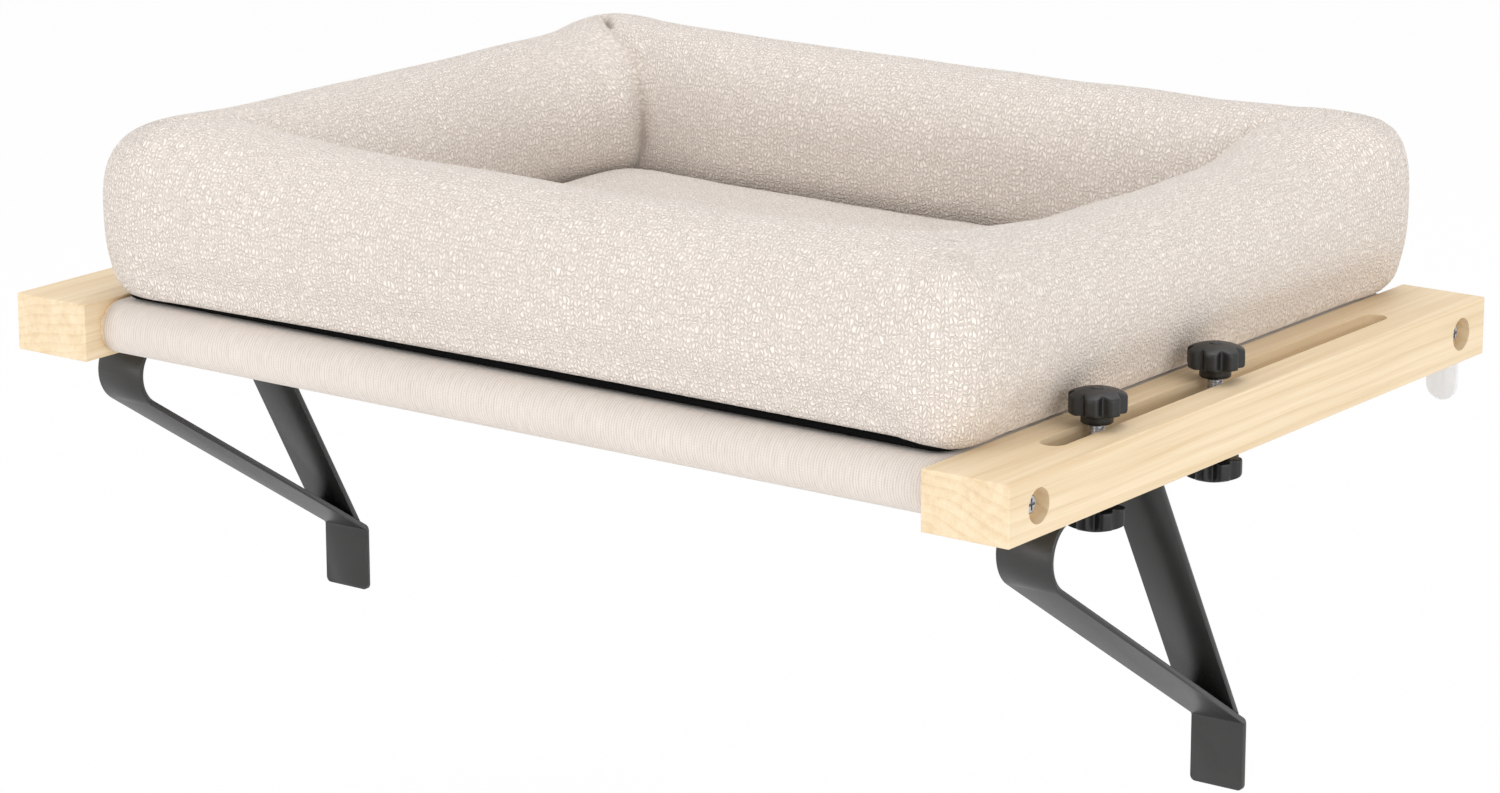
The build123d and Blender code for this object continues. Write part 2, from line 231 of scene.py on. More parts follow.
def rgba(colour, share=1.0):
    """A colour, or a share of it, with its alpha."""
    return (*[min(1.0, c * share) for c in colour], 1.0)


class Finish(Graph):
    """A material with one Principled shader."""

    def __init__(self, name):
        self.material = bpy.data.materials.new(name)
        self.material.use_nodes = True
        super().__init__(self.material.node_tree)
        self.tree.nodes.clear()

    def noise(self, vector, scale, detail=2.0, roughness=0.5):
        """Soft noise from 0 to 1."""
        inputs = {"Vector": vector, "Scale": scale, "Detail": detail, "Roughness": roughness}
        return self.node("ShaderNodeTexNoise", None, inputs)

    def place(self):
        """Where a point lies in the object's own space, in metres."""
        return self.node("ShaderNodeTexCoord", output=3)

    def cloth_place(self):
        """A point's place on the flat cloth, in metres."""
        return self.node("ShaderNodeUVMap", {"uv_map": "cloth"})

    def stretched(self, vector, scale):
        """The place stretched by a scale on each axis."""
        return self.node("ShaderNodeMapping", None, {"Vector": vector, "Scale": scale})

    def shades(self, colour, factor, first, second):
        """A mix of two shades of one colour, each a share of it."""
        return self.blend(factor, rgba(colour, first), rgba(colour, second))

    def bump(self, height, distance, strength):
        """A normal from a height in metres."""
        inputs = {"Strength": strength, "Distance": distance, "Height": height}
        return self.node("ShaderNodeBump", None, inputs)

    def shade(self, **inputs):
        """The Principled shader and the output."""
        named = {key.replace("_", " "): value for key, value in inputs.items()}
        shader = self.node("ShaderNodeBsdfPrincipled", None, named)
        self.node("ShaderNodeOutputMaterial", None, {"Surface": shader})
        return self.material


def knit_finish(name, colour, column, row, depth, sheen):
    """Knitted cloth: columns of slanted stitches, uneven in size and tone, with painted shade in the soft
    gaps between them and in the marked creases.
    """
    f = Finish(name)
    u, v, _ = f.parts(f.cloth_place())
    drift = f.noise(f.cloth_place(), 210.0, 1.0) - 0.5
    drift_across = f.noise(f.vector(v, u, 0.37), 210.0, 1.0) - 0.5
    wale = u / column + drift * 1.7
    slant = abs((wale * 0.5).math("FRACT") - 0.5) * 1.3
    course = v / row + slant + drift_across * 2.3
    leg = (course * (2 * math.pi)).math("SINE")
    side = abs((wale * math.pi).math("SINE"))
    stitch_spot = f.vector(wale.math("FLOOR"), course.math("FLOOR"), 0.0)
    own = f.node("ShaderNodeTexWhiteNoise", {"noise_dimensions": "2D"}, {"Vector": stitch_spot})
    yarn = f.noise(f.stretched(f.cloth_place(), (900.0, 900.0, 1.0)), 1.0, 2.0, 0.6) - 0.5
    grain = f.span(leg, -0.95, 0.7) * f.span(side, -0.1, 0.75)
    # The seam attribute holds painted shade for the corner creases and the pinched spot: it flattens the
    # relief there, so the shaded gap colour shows, and draws the colour towards 0.42 of the cover's.
    seam = f.node("ShaderNodeAttribute", {"attribute_name": "seam"}, output=2)
    relief = f.node("ShaderNodeMix", None, {0: seam, 2: grain * 0.8 + yarn * 0.85 + own * 0.27, 3: 0.0})
    # Painted shade in the gaps between stitches: where the relief is low, the colour is drawn towards deep, a
    # darker copy of the cover's colour.
    gap_shade = f.span(relief, 0.90, -0.05)
    patch = f.noise(f.place(), 9.0, 2.0)
    deep = rgba([c * d for c, d in zip(colour, (0.73, 0.705, 0.685))])
    ground = f.shades(colour, f.span(patch, 0.3, 0.7), 1.005, 1.035)
    base = f.blend(seam * 0.75, f.blend(gap_shade, ground, deep), rgba(colour, 0.42))
    rough = f.span(relief, 0.0, 1.0, 0.97, 0.86)
    return f.shade(
        Base_Color=base,
        Roughness=rough,
        Sheen_Weight=sheen,
        Sheen_Roughness=0.5,
        Normal=f.bump(relief, depth, 0.85),
    )


def canvas_finish(name, colour, pitch, depth):
    """Ribbed woven cloth: strong threads along its run, crossed by finer ones, with painted shade in the
    hollows between them.
    """
    f = Finish(name)
    u, v, _ = f.parts(f.cloth_place())
    wander = (f.noise(f.cloth_place(), 90.0, 2.0) - 0.5) * 0.7
    rib = ((u / pitch + wander) * (2 * math.pi)).math("COSINE")
    cross = ((v / (pitch * 0.8) - wander) * (2 * math.pi)).math("SINE")
    slub = f.noise(f.stretched(f.cloth_place(), (700.0, 110.0, 1.0)), 1.0, 2.0) - 0.5
    relief = rib * 0.30 + rib * cross * 0.25 + slub * 0.9 + 0.5
    shade = f.span(f.noise(f.place(), 14.0, 3.0), 0.3, 0.7)
    # Painted shade: where the relief is low, between the threads, the colour darkens to 0.74 of the cloth's.
    hollow_shade = f.span(relief, 0.75, 0.0, 0.0, 0.8)
    base = f.blend(hollow_shade, f.shades(colour, shade, 1.02, 1.07), rgba(colour, 0.74))
    return f.shade(
        Base_Color=base,
        Roughness=f.span(relief, 0.0, 1.0, 0.95, 0.85),
        Sheen_Weight=0.15,
        Sheen_Roughness=0.5,
        Normal=f.bump(relief, depth, 0.7),
    )


def wood_finish(name, pale, dark, along):
    """Planed softwood: growth rings cut lengthwise, fine pores and a thin clear oil."""
    f = Finish(name)
    x, y, z = f.parts(f.place())
    across, run = (x, y) if along == "Y" else (y, x)
    ring_width, heart_in, heart_down = 0.0052, 0.19, 0.35

    def lengthwise(fine, coarse):
        """The place stretched into long fibres."""
        return f.vector(across * fine, run * coarse, z * fine)

    sway = (f.noise(lengthwise(6.0, 0.9), 3.0, 2.0) - 0.5) * 0.016
    radius = ((abs(across) - heart_in + sway) ** 2.0 + (z + heart_down + sway) ** 2.0) ** 0.5
    ring = (radius / ring_width).math("FRACT")
    late = f.span(ring, 0.45, 0.97) * f.span(ring, 0.97, 1.0, 1.0, 0.0)
    fibre = f.noise(lengthwise(1400.0, 16.0), 1.0, 3.0, 0.65)
    streak = f.noise(lengthwise(330.0, 7.0), 1.0, 3.0, 0.6)
    band = f.noise(lengthwise(90.0, 2.2), 1.0, 2.0)
    tone = late * 0.20 + (fibre - 0.5) * 0.5 + (streak - 0.5) * 0.9 + (band - 0.5) * 0.9
    base = f.blend(f.span(tone, -0.42, 0.78, smooth=False), rgba(pale), rgba(dark))
    relief = fibre * 0.6 + late * 0.4
    return f.shade(
        Base_Color=base,
        Roughness=f.span(fibre, 0.2, 0.8, 0.46, 0.6),
        Normal=f.bump(relief, 0.00012, 0.5),
    )


def paint_finish(name, colour):
    """Satin powder coat with a faint orange peel."""
    f = Finish(name)
    peel = f.noise(f.place(), 520.0, 2.0)
    grain = f.noise(f.place(), 2600.0, 1.0)
    drift = f.noise(f.place(), 24.0, 2.0)
    base = f.shades(colour, f.span(drift, 0.3, 0.7), 0.9, 1.12)
    return f.shade(
        Base_Color=base,
        Roughness=f.span(grain + drift * 0.4, 0.4, 1.0, 0.32, 0.45),
        Specular_IOR_Level=0.5,
        Normal=f.bump(peel + grain * 0.25, 0.00006, 0.45),
    )


def moulded_finish(name, colour, rough, grain_depth):
    """Moulded plastic with a fine spark-eroded grain."""
    f = Finish(name)
    grain = f.noise(f.place(), 1900.0, 2.0)
    drift = f.noise(f.place(), 60.0, 2.0)
    base = f.shades(colour, f.span(drift, 0.3, 0.7), 0.88, 1.15)
    return f.shade(
        Base_Color=base,
        Roughness=f.span(grain, 0.3, 0.7, rough - 0.05, rough + 0.07),
        Normal=f.bump(grain, grain_depth, 0.4),
    )


def clear_tab_finish(name, colour):
    """Frosted see-through plastic with faint flow marks."""
    f = Finish(name)
    flow = f.noise(f.stretched(f.place(), (60.0, 60.0, 14.0)), 1.0, 2.0)
    base = f.shades(colour, f.span(flow, 0.3, 0.7), 0.96, 1.0)
    return f.shade(
        Base_Color=base,
        Roughness=f.span(flow, 0.3, 0.7, 0.28, 0.4),
        Alpha=f.span(flow, 0.3, 0.7, 0.55, 0.65),
        IOR=1.49,
        Normal=f.bump(flow, 0.0002, 0.3),
    )


def metal_finish(name, colour, rough):
    """Plated or turned metal with faint turning marks."""
    f = Finish(name)
    marks = f.noise(f.stretched(f.place(), (300.0, 300.0, 1500.0)), 1.0, 2.0)
    stain = f.noise(f.place(), 160.0, 2.0)
    base = f.shades(colour, f.span(stain, 0.35, 0.7), 0.86, 1.0)
    return f.shade(
        Base_Color=base,
        Metallic=1.0,
        Roughness=f.span(marks + stain * 0.5, 0.4, 1.1, rough, rough + 0.16),
        Normal=f.bump(marks, 0.00003, 0.4),
    )


def felt_finish(name, colour):
    """Bonded black underside cloth with pressed dots."""
    f = Finish(name)
    x, y, _ = f.parts(f.place())
    spacing = 0.004
    dot_x, dot_y = [((place / spacing).math("FRACT") - 0.5) ** 2.0 for place in (x, y)]
    dot = f.span((dot_x + dot_y) ** 0.5, 0.16, 0.28)
    fibre = f.noise(f.place(), 1500.0, 3.0, 0.7)
    relief = dot * 0.7 + fibre * 0.5
    base = f.shades(colour, f.span(fibre, 0.3, 0.75), 0.6, 1.5)
    return f.shade(
        Base_Color=base,
        Roughness=f.span(fibre, 0.3, 0.7, 0.85, 0.97),
        Specular_IOR_Level=0.05,
        Normal=f.bump(relief, 0.0002, 0.6),
    )


# Meshes ----------------------------------------------------------------------


def linked(name, data):
    """A new object, linked to the scene."""
    made = bpy.data.objects.new(name, data)
    bpy.context.scene.collection.objects.link(made)
    return made


def modified(piece, kind, **settings):
    """A new modifier on an object, with its settings."""
    modifier = piece.modifiers.new(kind.lower(), kind)
    for key, value in settings.items():
        setattr(modifier, key, value)
    return modifier


def coat(mesh, material):
    """Gives a mesh one material."""
    mesh.materials.clear()
    mesh.materials.append(material)


def make_piece(name, points, faces, body, slot, material):
    """A new closed mesh object that rides on a body, with the given finish; its slot is not used."""
    mesh = bpy.data.meshes.new(name)
    mesh.from_pydata(points, [], faces)
    mesh.validate()
    face_outwards(mesh)
    return show_mesh(name, mesh, body, material)


def show_mesh(name, mesh, body, material):
    """An object for a finished mesh, linked, smoothed and riding on its body."""
    piece = linked(name, mesh)
    coat(mesh, material)
    mesh.polygons.foreach_set("use_smooth", [True] * len(mesh.polygons))
    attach(piece, body)
    return piece


def evaluated_mesh(piece):
    """The mesh of an object with its modifiers applied."""
    bpy.context.view_layer.update()
    graph = bpy.context.evaluated_depsgraph_get()
    return bpy.data.meshes.new_from_object(piece.evaluated_get(graph))


@contextmanager
def edited(mesh):
    """A mesh as a bmesh, written back at the end."""
    work = bmesh.new()
    work.from_mesh(mesh)
    work.verts.ensure_lookup_table()
    yield work
    work.to_mesh(mesh)
    work.free()
    mesh.update()


def face_outwards(mesh):
    """Turns the faces of a closed mesh so that they all point out."""
    with edited(mesh) as work:
        bmesh.ops.recalc_face_normals(work, faces=work.faces)
        if work.calc_volume(signed=True) < 0:
            bmesh.ops.reverse_faces(work, faces=work.faces)


def values_of(items, name, width=1, kind=float):
    """One value of every item, as an array."""
    found = np.empty(len(items) * width, dtype=kind)
    items.foreach_get(name, found)
    return found.reshape(-1, width) if width > 1 else found


def coordinates(mesh):
    """The points of a mesh as an array."""
    return values_of(mesh.vertices, "co", 3)


def set_coordinates(mesh, points):
    """Gives a mesh its points from an array."""
    mesh.vertices.foreach_set("co", points.ravel())
    mesh.update()


def point_normals(mesh):
    """The normals of a mesh's points as an array."""
    return values_of(mesh.vertices, "normal", 3)


def eased_solid(node, name, body, material, width):
    """A hard node's own form with its sharp edges broken by a small bevel."""
    mesh = NODES[node].data.copy()
    with edited(mesh) as work:
        bmesh.ops.remove_doubles(work, verts=work.verts, dist=0.00001)
        bmesh.ops.dissolve_limit(work, angle_limit=0.01, verts=work.verts, edges=work.edges)
    piece = linked(name, mesh)
    sharp = {"limit_method": "ANGLE", "angle_limit": math.radians(40)}
    modified(piece, "BEVEL", width=width, segments=2, harden_normals=True, **sharp)
    finished = evaluated_mesh(piece)
    bpy.data.objects.remove(piece)
    solid = show_mesh(name, finished, body, material)
    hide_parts(node)


# Trees that make what repeats --------------------------------------------------


def new_tree(name, inputs):
    """A modifier tree with named inputs; each is a name, a socket type and a default."""
    tree = bpy.data.node_groups.new(name, "GeometryNodeTree")
    tree.interface.new_socket("Geometry", in_out="INPUT", socket_type="NodeSocketGeometry")
    tree.interface.new_socket("Geometry", in_out="OUTPUT", socket_type="NodeSocketGeometry")
    for label, kind, default in inputs:
        socket = tree.interface.new_socket(label, in_out="INPUT", socket_type=kind)
        if default is not None:
            socket.default_value = default
    graph = Graph(tree)
    source = tree.nodes.new("NodeGroupInput")
    values = {s.name: Signal(graph, s) for s in source.outputs if s.name}
    return graph, values


def end_tree(graph, geometry, material):
    """Ends a tree in real geometry with its material."""
    real = graph.node("GeometryNodeRealizeInstances", None, {0: geometry})
    coated = graph.node("GeometryNodeSetMaterial", None, {"Geometry": real, "Material": material})
    graph.node("NodeGroupOutput", None, {0: coated})


def grown(name, graph, values, body, material):
    """A plain mesh piece from a tree and the values of its named inputs."""
    piece = linked(name + "_start", bpy.data.meshes.new(name + "_start"))
    modifier = modified(piece, "NODES", node_group=graph.tree)
    known = {s.name: s.identifier for s in graph.tree.interface.items_tree if s.in_out == "INPUT"}
    for label, value in values.items():
        modifier[known[label]] = value
    modifier[known["Material"]] = material
    mesh = evaluated_mesh(piece)
    piece.modifiers.remove(modifier)
    bpy.data.objects.remove(piece)
    mesh.name = name
    face_outwards(mesh)
    return show_mesh(name, mesh, body, material)


def round_body(graph, turns, rows, radius_of, height_of):
    """A closed body on a grid: its radius and height are rules of turn and row, each from 0 to 1."""
    size = {"Size X": 1.0, "Size Y": 1.0, "Vertices X": turns, "Vertices Y": rows}
    grid = graph.node("GeometryNodeMeshGrid", None, size)
    x, y, _ = graph.parts(graph.node("GeometryNodeInputPosition"))
    turn, row = x + 0.5, y + 0.5
    angle = turn * (2 * math.pi)
    radius = radius_of(turn, row)
    spot = graph.vector(radius * angle.math("COSINE"), radius * angle.math("SINE"), height_of(turn, row))
    shaped = graph.node("GeometryNodeSetPosition", None, {"Geometry": grid, "Position": spot})
    return graph.node("GeometryNodeMergeByDistance", None, {"Geometry": shaped, "Distance": 0.00002})


def placed(graph, geometry, place, turned):
    """The geometry turned and moved to its place."""
    inputs = {"Geometry": geometry, "Translation": place, "Rotation": turned}
    return graph.node("GeometryNodeTransform", None, inputs)


# The inputs that say where a knob or a stud goes, and of what it is made
WHERE = [
    ("Place", "NodeSocketVector", None),
    ("Turned", "NodeSocketVector", None),
    ("Material", "NodeSocketMaterial", None),
]


def star_knob_tree():
    """A star knob: hub, lobes cut by round valleys, dome and button, with a bore from below."""
    inputs = [
        ("Radius", "NodeSocketFloat", 0.01425),
        ("Lobes", "NodeSocketFloat", 7.0),
        ("Valley depth", "NodeSocketFloat", 0.0038),
        ("Valley half width", "NodeSocketFloat", 0.0046),
        ("Edge softness", "NodeSocketFloat", 0.0007),
        *WHERE,
    ]
    graph, value = new_tree("star_knob", inputs)
    # Radius and height in millimetres, from the bore's top out round the hub and up to the button
    profile = [
        (0.0, 12.05), (4.05, 12.05), (4.05, 0.4), (4.45, 0.0), (7.3, 0.0), (7.75, 0.45),
        (7.75, 4.0), (8.0, 4.6), (8.6, 5.0), (11.0, 5.0), (13.2, 5.05), (13.9, 5.4), (14.25, 6.1),
        (14.3, 7.5), (14.3, 10.0), (14.25, 12.2), (14.1, 13.0), (13.6, 13.7), (12.8, 14.15),
        (11.2, 14.8), (9.0, 15.5), (6.5, 16.05), (4.6, 16.35), (3.6, 16.45), (3.2, 16.55),
        (2.95, 16.9), (2.5, 17.05), (1.2, 17.1), (0.0, 17.1),
    ]
    steps = len(profile) - 1
    curve_top, reach, hub_reach = 20, 0.02, 0.0088
    radii = [(i / steps, r / curve_top) for i, (r, _) in enumerate(profile)]
    heights = [(i / steps, h / curve_top) for i, (_, h) in enumerate(profile)]

    def radius_of(turn, row):
        ring = graph.node("ShaderNodeFloatCurve", {"curve": radii}, {"Value": row}) * reach
        share = (turn * value["Lobes"]).math("FRACT") - 0.5
        off = abs(share) / value["Lobes"] * (2 * math.pi) * value["Radius"]
        cut = graph.span(off, 0.0, value["Valley half width"], value["Valley depth"], 0.0)
        outline = value["Radius"] - cut
        near = ring.math("SMOOTH_MIN", outline, value["Edge softness"])
        inside = graph.maths("LESS_THAN", ring, hub_reach)
        return ring * inside + near * (1.0 - inside)

    def height_of(turn, row):
        return graph.node("ShaderNodeFloatCurve", {"curve": heights}, {"Value": row}) * reach

    body = round_body(graph, 7 * 16 + 1, 2 * steps + 1, radius_of, height_of)
    end_tree(graph, placed(graph, body, value["Place"], value["Turned"]), value["Material"])
    return graph


def stud_tree():
    """A threaded stud standing on z = 0, with the ends closed."""
    inputs = [
        ("Radius", "NodeSocketFloat", 0.00396),
        ("Thread depth", "NodeSocketFloat", 0.0006),
        ("Pitch", "NodeSocketFloat", 0.00125),
        ("Length", "NodeSocketFloat", 0.056),
        *WHERE,
    ]
    graph, value = new_tree("threaded_stud", inputs)

    def height_of(turn, row):
        return graph.span(row, 0.004, 0.996, smooth=False) * value["Length"]

    def radius_of(turn, row):
        height = height_of(turn, row)
        wave = (height / value["Pitch"] - turn).math("FRACT")
        flank = graph.span(abs(wave - 0.5), 0.06, 0.44, smooth=False)
        taper = graph.span(height, 0.0, 0.0012, 0.0008, 0.0, False)
        side = value["Radius"] - flank * value["Thread depth"] - taper
        open_end = graph.maths("GREATER_THAN", row, 0.0015) * graph.maths("LESS_THAN", row, 0.9985)
        return side.math("MAXIMUM", 0.0028) * open_end

    body = round_body(graph, 25, 362, radius_of, height_of)
    end_tree(graph, placed(graph, body, value["Place"], value["Turned"]), value["Material"])
    return graph


def stitch_tree():
    """A row of sewn stitches along a straight seam, each a short capsule that dips at its ends."""
    inputs = [
        ("Start", "NodeSocketVector", None),
        ("End", "NodeSocketVector", None),
        ("Spacing", "NodeSocketFloat", 0.0034),
        ("Stitch length", "NodeSocketFloat", 0.0027),
        ("Thread radius", "NodeSocketFloat", 0.00033),
        ("Seed", "NodeSocketInt", 4),
        ("Material", "NodeSocketMaterial", None),
    ]
    graph, value = new_tree("stitches", inputs)
    ends = {"Start": value["Start"], "End": value["End"]}
    line = graph.node("GeometryNodeCurvePrimitiveLine", None, ends)
    spacing = {"Curve": line, "Length": value["Spacing"]}
    spots = graph.node("GeometryNodeCurveToPoints", {"mode": "LENGTH"}, spacing)
    half = value["Stitch length"] * 0.5
    bend = {
        "Resolution": 4,
        "Start": graph.vector(-half, 0.0, 0.0),
        "Middle": graph.vector(0.0, 0.0, value["Thread radius"] * -2.4),
        "End": graph.vector(half, 0.0, 0.0),
    }
    arc = graph.node("GeometryNodeCurveQuadraticBezier", None, bend)
    round_thread = {"Resolution": 5, "Radius": value["Thread radius"]}
    ring = graph.node("GeometryNodeCurvePrimitiveCircle", None, round_thread)
    swept = {"Curve": arc, "Profile Curve": ring, "Fill Caps": True}
    thread = graph.node("GeometryNodeCurveToMesh", None, swept)
    lean = {0: (0.0, 0.0, -0.07), 1: (0.0, 0.0, 0.07), "Seed": value["Seed"]}
    tilt = graph.node("FunctionNodeRandomValue", {"data_type": "FLOAT_VECTOR"}, lean)
    sewn = {"Points": spots, "Instance": thread, "Rotation": tilt}
    row = graph.node("GeometryNodeInstanceOnPoints", None, sewn)
    end_tree(graph, row, value["Material"])
    return graph


# Padded cloth --------------------------------------------------------------------


def even_mesh(name, form, size):
    """An even mesh of quads from plain points and faces."""
    points, faces = form
    mesh = bpy.data.meshes.new(name)
    mesh.from_pydata(points, [], faces)
    face_outwards(mesh)
    piece = linked(name, mesh)
    modified(piece, "REMESH", mode="VOXEL", voxel_size=size)
    even = evaluated_mesh(piece)
    bpy.data.objects.remove(piece)
    return even


def swollen(name, mesh, pressure, cap):
    """Blows the cover up as cloth round its filling; no point moves further than the cap."""
    piece = linked(name + "_work", mesh)
    start = coordinates(mesh)
    cloth = modified(piece, "CLOTH")
    cover = {
        "quality": 5,
        "mass": 0.15,
        "tension_stiffness": 8,
        "compression_stiffness": 8,
        "shear_stiffness": 3,
        "bending_stiffness": 0.4,
        "use_pressure": True,
        "uniform_pressure_force": pressure,
    }
    for key, value in cover.items():
        setattr(cloth.settings, key, value)
    cloth.settings.effector_weights.gravity = 0
    scene = bpy.context.scene
    for number in range(1, 21):
        scene.frame_set(number)
    moved = coordinates(evaluated_mesh(piece))
    scene.frame_set(1)
    piece.modifiers.remove(cloth)
    shift = moved - start
    length = np.linalg.norm(shift, axis=1)
    reach = cap * keep_foot(start)
    shift *= np.minimum(1.0, reach / np.maximum(length, 1e-9))[:, None]
    set_coordinates(mesh, start + shift)
    modified(piece, "SMOOTH", factor=0.5, iterations=3)
    modified(piece, "SUBSURF", levels=1, render_levels=1)
    finished = evaluated_mesh(piece)
    bpy.data.objects.remove(piece)
    return finished


def keep_foot(points):
    """How freely each point may swell: not at all at the foot, fully a little above it."""
    return np.clip((points[:, 2] - BED_FOOT_Z) / 0.012, 0.0, 1.0)


def write_cloth_map(mesh, flat):
    """Writes each face corner's place on the flat cloth, in metres."""
    layer = mesh.uv_layers.new(name="cloth")
    layer.data.foreach_set("uv", flat.astype(np.float32).ravel())


def paint_cloth_map(mesh, mapping):
    """Gives each face corner its place on the flat cloth; a face lies on one panel."""
    corner_point = values_of(mesh.loops, "vertex_index", kind=np.int64)
    totals = values_of(mesh.polygons, "loop_total", kind=np.int64)
    face_of_corner = np.repeat(np.arange(len(totals)), totals)
    centres = values_of(mesh.polygons, "center", 3)
    write_cloth_map(mesh, mapping(coordinates(mesh)[corner_point], centres[face_of_corner]))


def section(inset, height, pull, foot, bulge_share, foot_power, outer_power, inner_power):
    """The outline of a bolster's section: distance in from the outer side, and height."""
    bulge = bulge_share * height
    crown = height + RIDGE_SAG - bulge
    ridge = BOLSTER_WIDTH / 2
    outer = (pull, foot, outer_power)
    inner = (BOLSTER_WIDTH - inset, BOLSTER_WIDTH - FOOT_IN_WELL, inner_power)
    halves = []
    for side, side_foot, power in (outer, inner):
        half = []
        for step in range(9):
            fall = 1 - step / 8
            drawn = 1 - (1 - fall**foot_power) ** (1 / foot_power)
            half.append((side + (side_foot - side) * drawn, bulge * (1 - fall)))
        for step in range(1, 17):
            angle = math.pi * step / 32
            out, up = math.cos(angle) ** (2 / power), math.sin(angle) ** (2 / power)
            half.append((ridge + (side - ridge) * out, bulge + crown * up))
        halves.append(half)
    return halves[0] + halves[1][-2::-1]


def eased(share):
    """A share from 0 to 1 with soft ends."""
    return float(faded(np.float64(share), 0.0, 1.0))


def faded(value, low, high):
    """An array carried from 0 at one value to 1 at another, with soft ends."""
    share = np.clip((value - low) / (high - low), 0.0, 1.0)
    return share * share * (3 - 2 * share)


def ring_stations(inset, half_run, height, corner_height, rise_run, fullness, foot, foot_power, inner_power):
    """Stations from a corner to the middle of one side, as backs, draws and section values."""
    lead = 0.016
    bend_end = BOLSTER_WIDTH + lead
    stations = []
    for step in range(9):
        turn = math.pi / 4 * (1 - step / 8)
        near = 1 - step / 8
        outer_back = BED_CORNER * (1 - math.sin(turn))
        outer_in = BED_CORNER * (1 - math.cos(turn))
        inner_back = bend_end - lead * near**1.5
        stations.append((outer_back, outer_in, inner_back, near))
    count = 22
    for step in range(1, count + 1):
        share = step / count
        outer_back = BED_CORNER + (half_run - BED_CORNER) * share
        slant = (bend_end - BED_CORNER) * (1 - share) ** 2
        stations.append((outer_back, 0.0, min(outer_back + slant, half_run), 0.0))
    whole = []
    for outer_back, outer_in, inner_back, near in stations:
        along = outer_back / half_run
        ridge_back = (outer_back + inner_back) / 2 - BOLSTER_WIDTH / 2
        rise = (corner_height - height) * (1 - eased(ridge_back / rise_run))
        settled = eased(along / 0.4)
        past_corner = eased(outer_back / 0.060)
        values = (
            inset,
            height + rise,
            0.002 * min(1.0, along / 0.7) + inset * past_corner - CORNER_SAG * (1 - past_corner),
            foot + (FOOT_IN_CORNER - foot) * near,
            0.5 - 0.08 * near,
            foot_power + (2.6 - foot_power) * near,
            fullness + (2.2 - fullness) * settled,
            2.1 + (inner_power - 2.1) * settled,
        )
        whole.append((outer_back, outer_in, inner_back, values))
    return whole


def bolster_ring(inset):
    """Points and faces of the bolster ring as one closed tube with rounded outer corners."""
    long_side, short_side = (BED_HALF_X, BED_HALF_Y), (BED_HALF_Y, BED_HALF_X)
    # For each end of a side: the ridge at the corner, the run over which it rises, its fullness
    front_left, front_right = (FRONT_LEFT_RIDGE, 0.10, 3.1), (FRONT_RIGHT_RIDGE, 0.12, 3.1)
    rear_right, rear_left = (REAR_RIGHT_RIDGE, 0.10, 4.3), (REAR_LEFT_RIDGE, 0.06, 3.1)
    left_rear, left_front = (REAR_LEFT_RIDGE, 0.036, 3.1), (FRONT_LEFT_RIDGE, 0.16, 3.1)
    # Half sizes, ridge, both ends, foot, powers of the foot's and the inner wall's curve, turn
    plans = [
        (long_side, FRONT_RIDGE, front_left, front_right, FOOT_IN_FRONT, 2.4, 2.05, 0),
        (short_side, RIGHT_RIDGE, front_right, rear_right, FOOT_IN_SIDE, 1.7, 1.7, 90),
        (long_side, REAR_RIDGE, rear_right, rear_left, FOOT_IN_FRONT, 2.4, 2.05, 180),
        (short_side, LEFT_RIDGE, left_rear, left_front, FOOT_IN_SIDE, 1.7, 2.05, 270),
    ]
    rings = []
    for (half_run, half_across), height, start, end, foot, power, inner_power, degrees in plans:
        first = ring_stations(inset, half_run, height, *start, foot, power, inner_power)
        last = ring_stations(inset, half_run, height, *end, foot, power, inner_power)
        whole = [(-1, s) for s in first] + [(1, s) for s in reversed(last[:-1])]
        cos, sin = math.cos(math.radians(degrees)), math.sin(math.radians(degrees))
        for side, (outer_back, outer_in, inner_back, values) in whole[:-1]:
            ring = []
            for inward, z in section(*values):
                share = inward / BOLSTER_WIDTH
                back = outer_back + (inner_back - outer_back) * share
                drawn = outer_in + (BOLSTER_WIDTH - outer_in) * share
                x, y = side * (half_run - back), drawn - half_across
                ring.append((x * cos - y * sin, x * sin + y * cos, BED_FOOT_Z + z))
            rings.append(ring)
    size = len(rings[0])
    points = [p for ring in rings for p in ring]
    faces = []
    for i in range(len(rings)):
        j = (i + 1) % len(rings)
        for k in range(size):
            m = (k + 1) % size
            faces.append((i * size + k, j * size + k, j * size + m, i * size + m))
    return points, faces


def in_from_sides(points):
    """How far in from the bed's front, right, rear and left side each point lies."""
    x, y = points[:, 0], points[:, 1]
    return np.stack([y + BED_HALF_Y, BED_HALF_X - x, BED_HALF_Y - y, x + BED_HALF_X])


def run_along(line):
    """The length along a line up to each of its points."""
    return np.concatenate([[0.0], np.cumsum(np.linalg.norm(np.diff(line, axis=0), axis=1))])


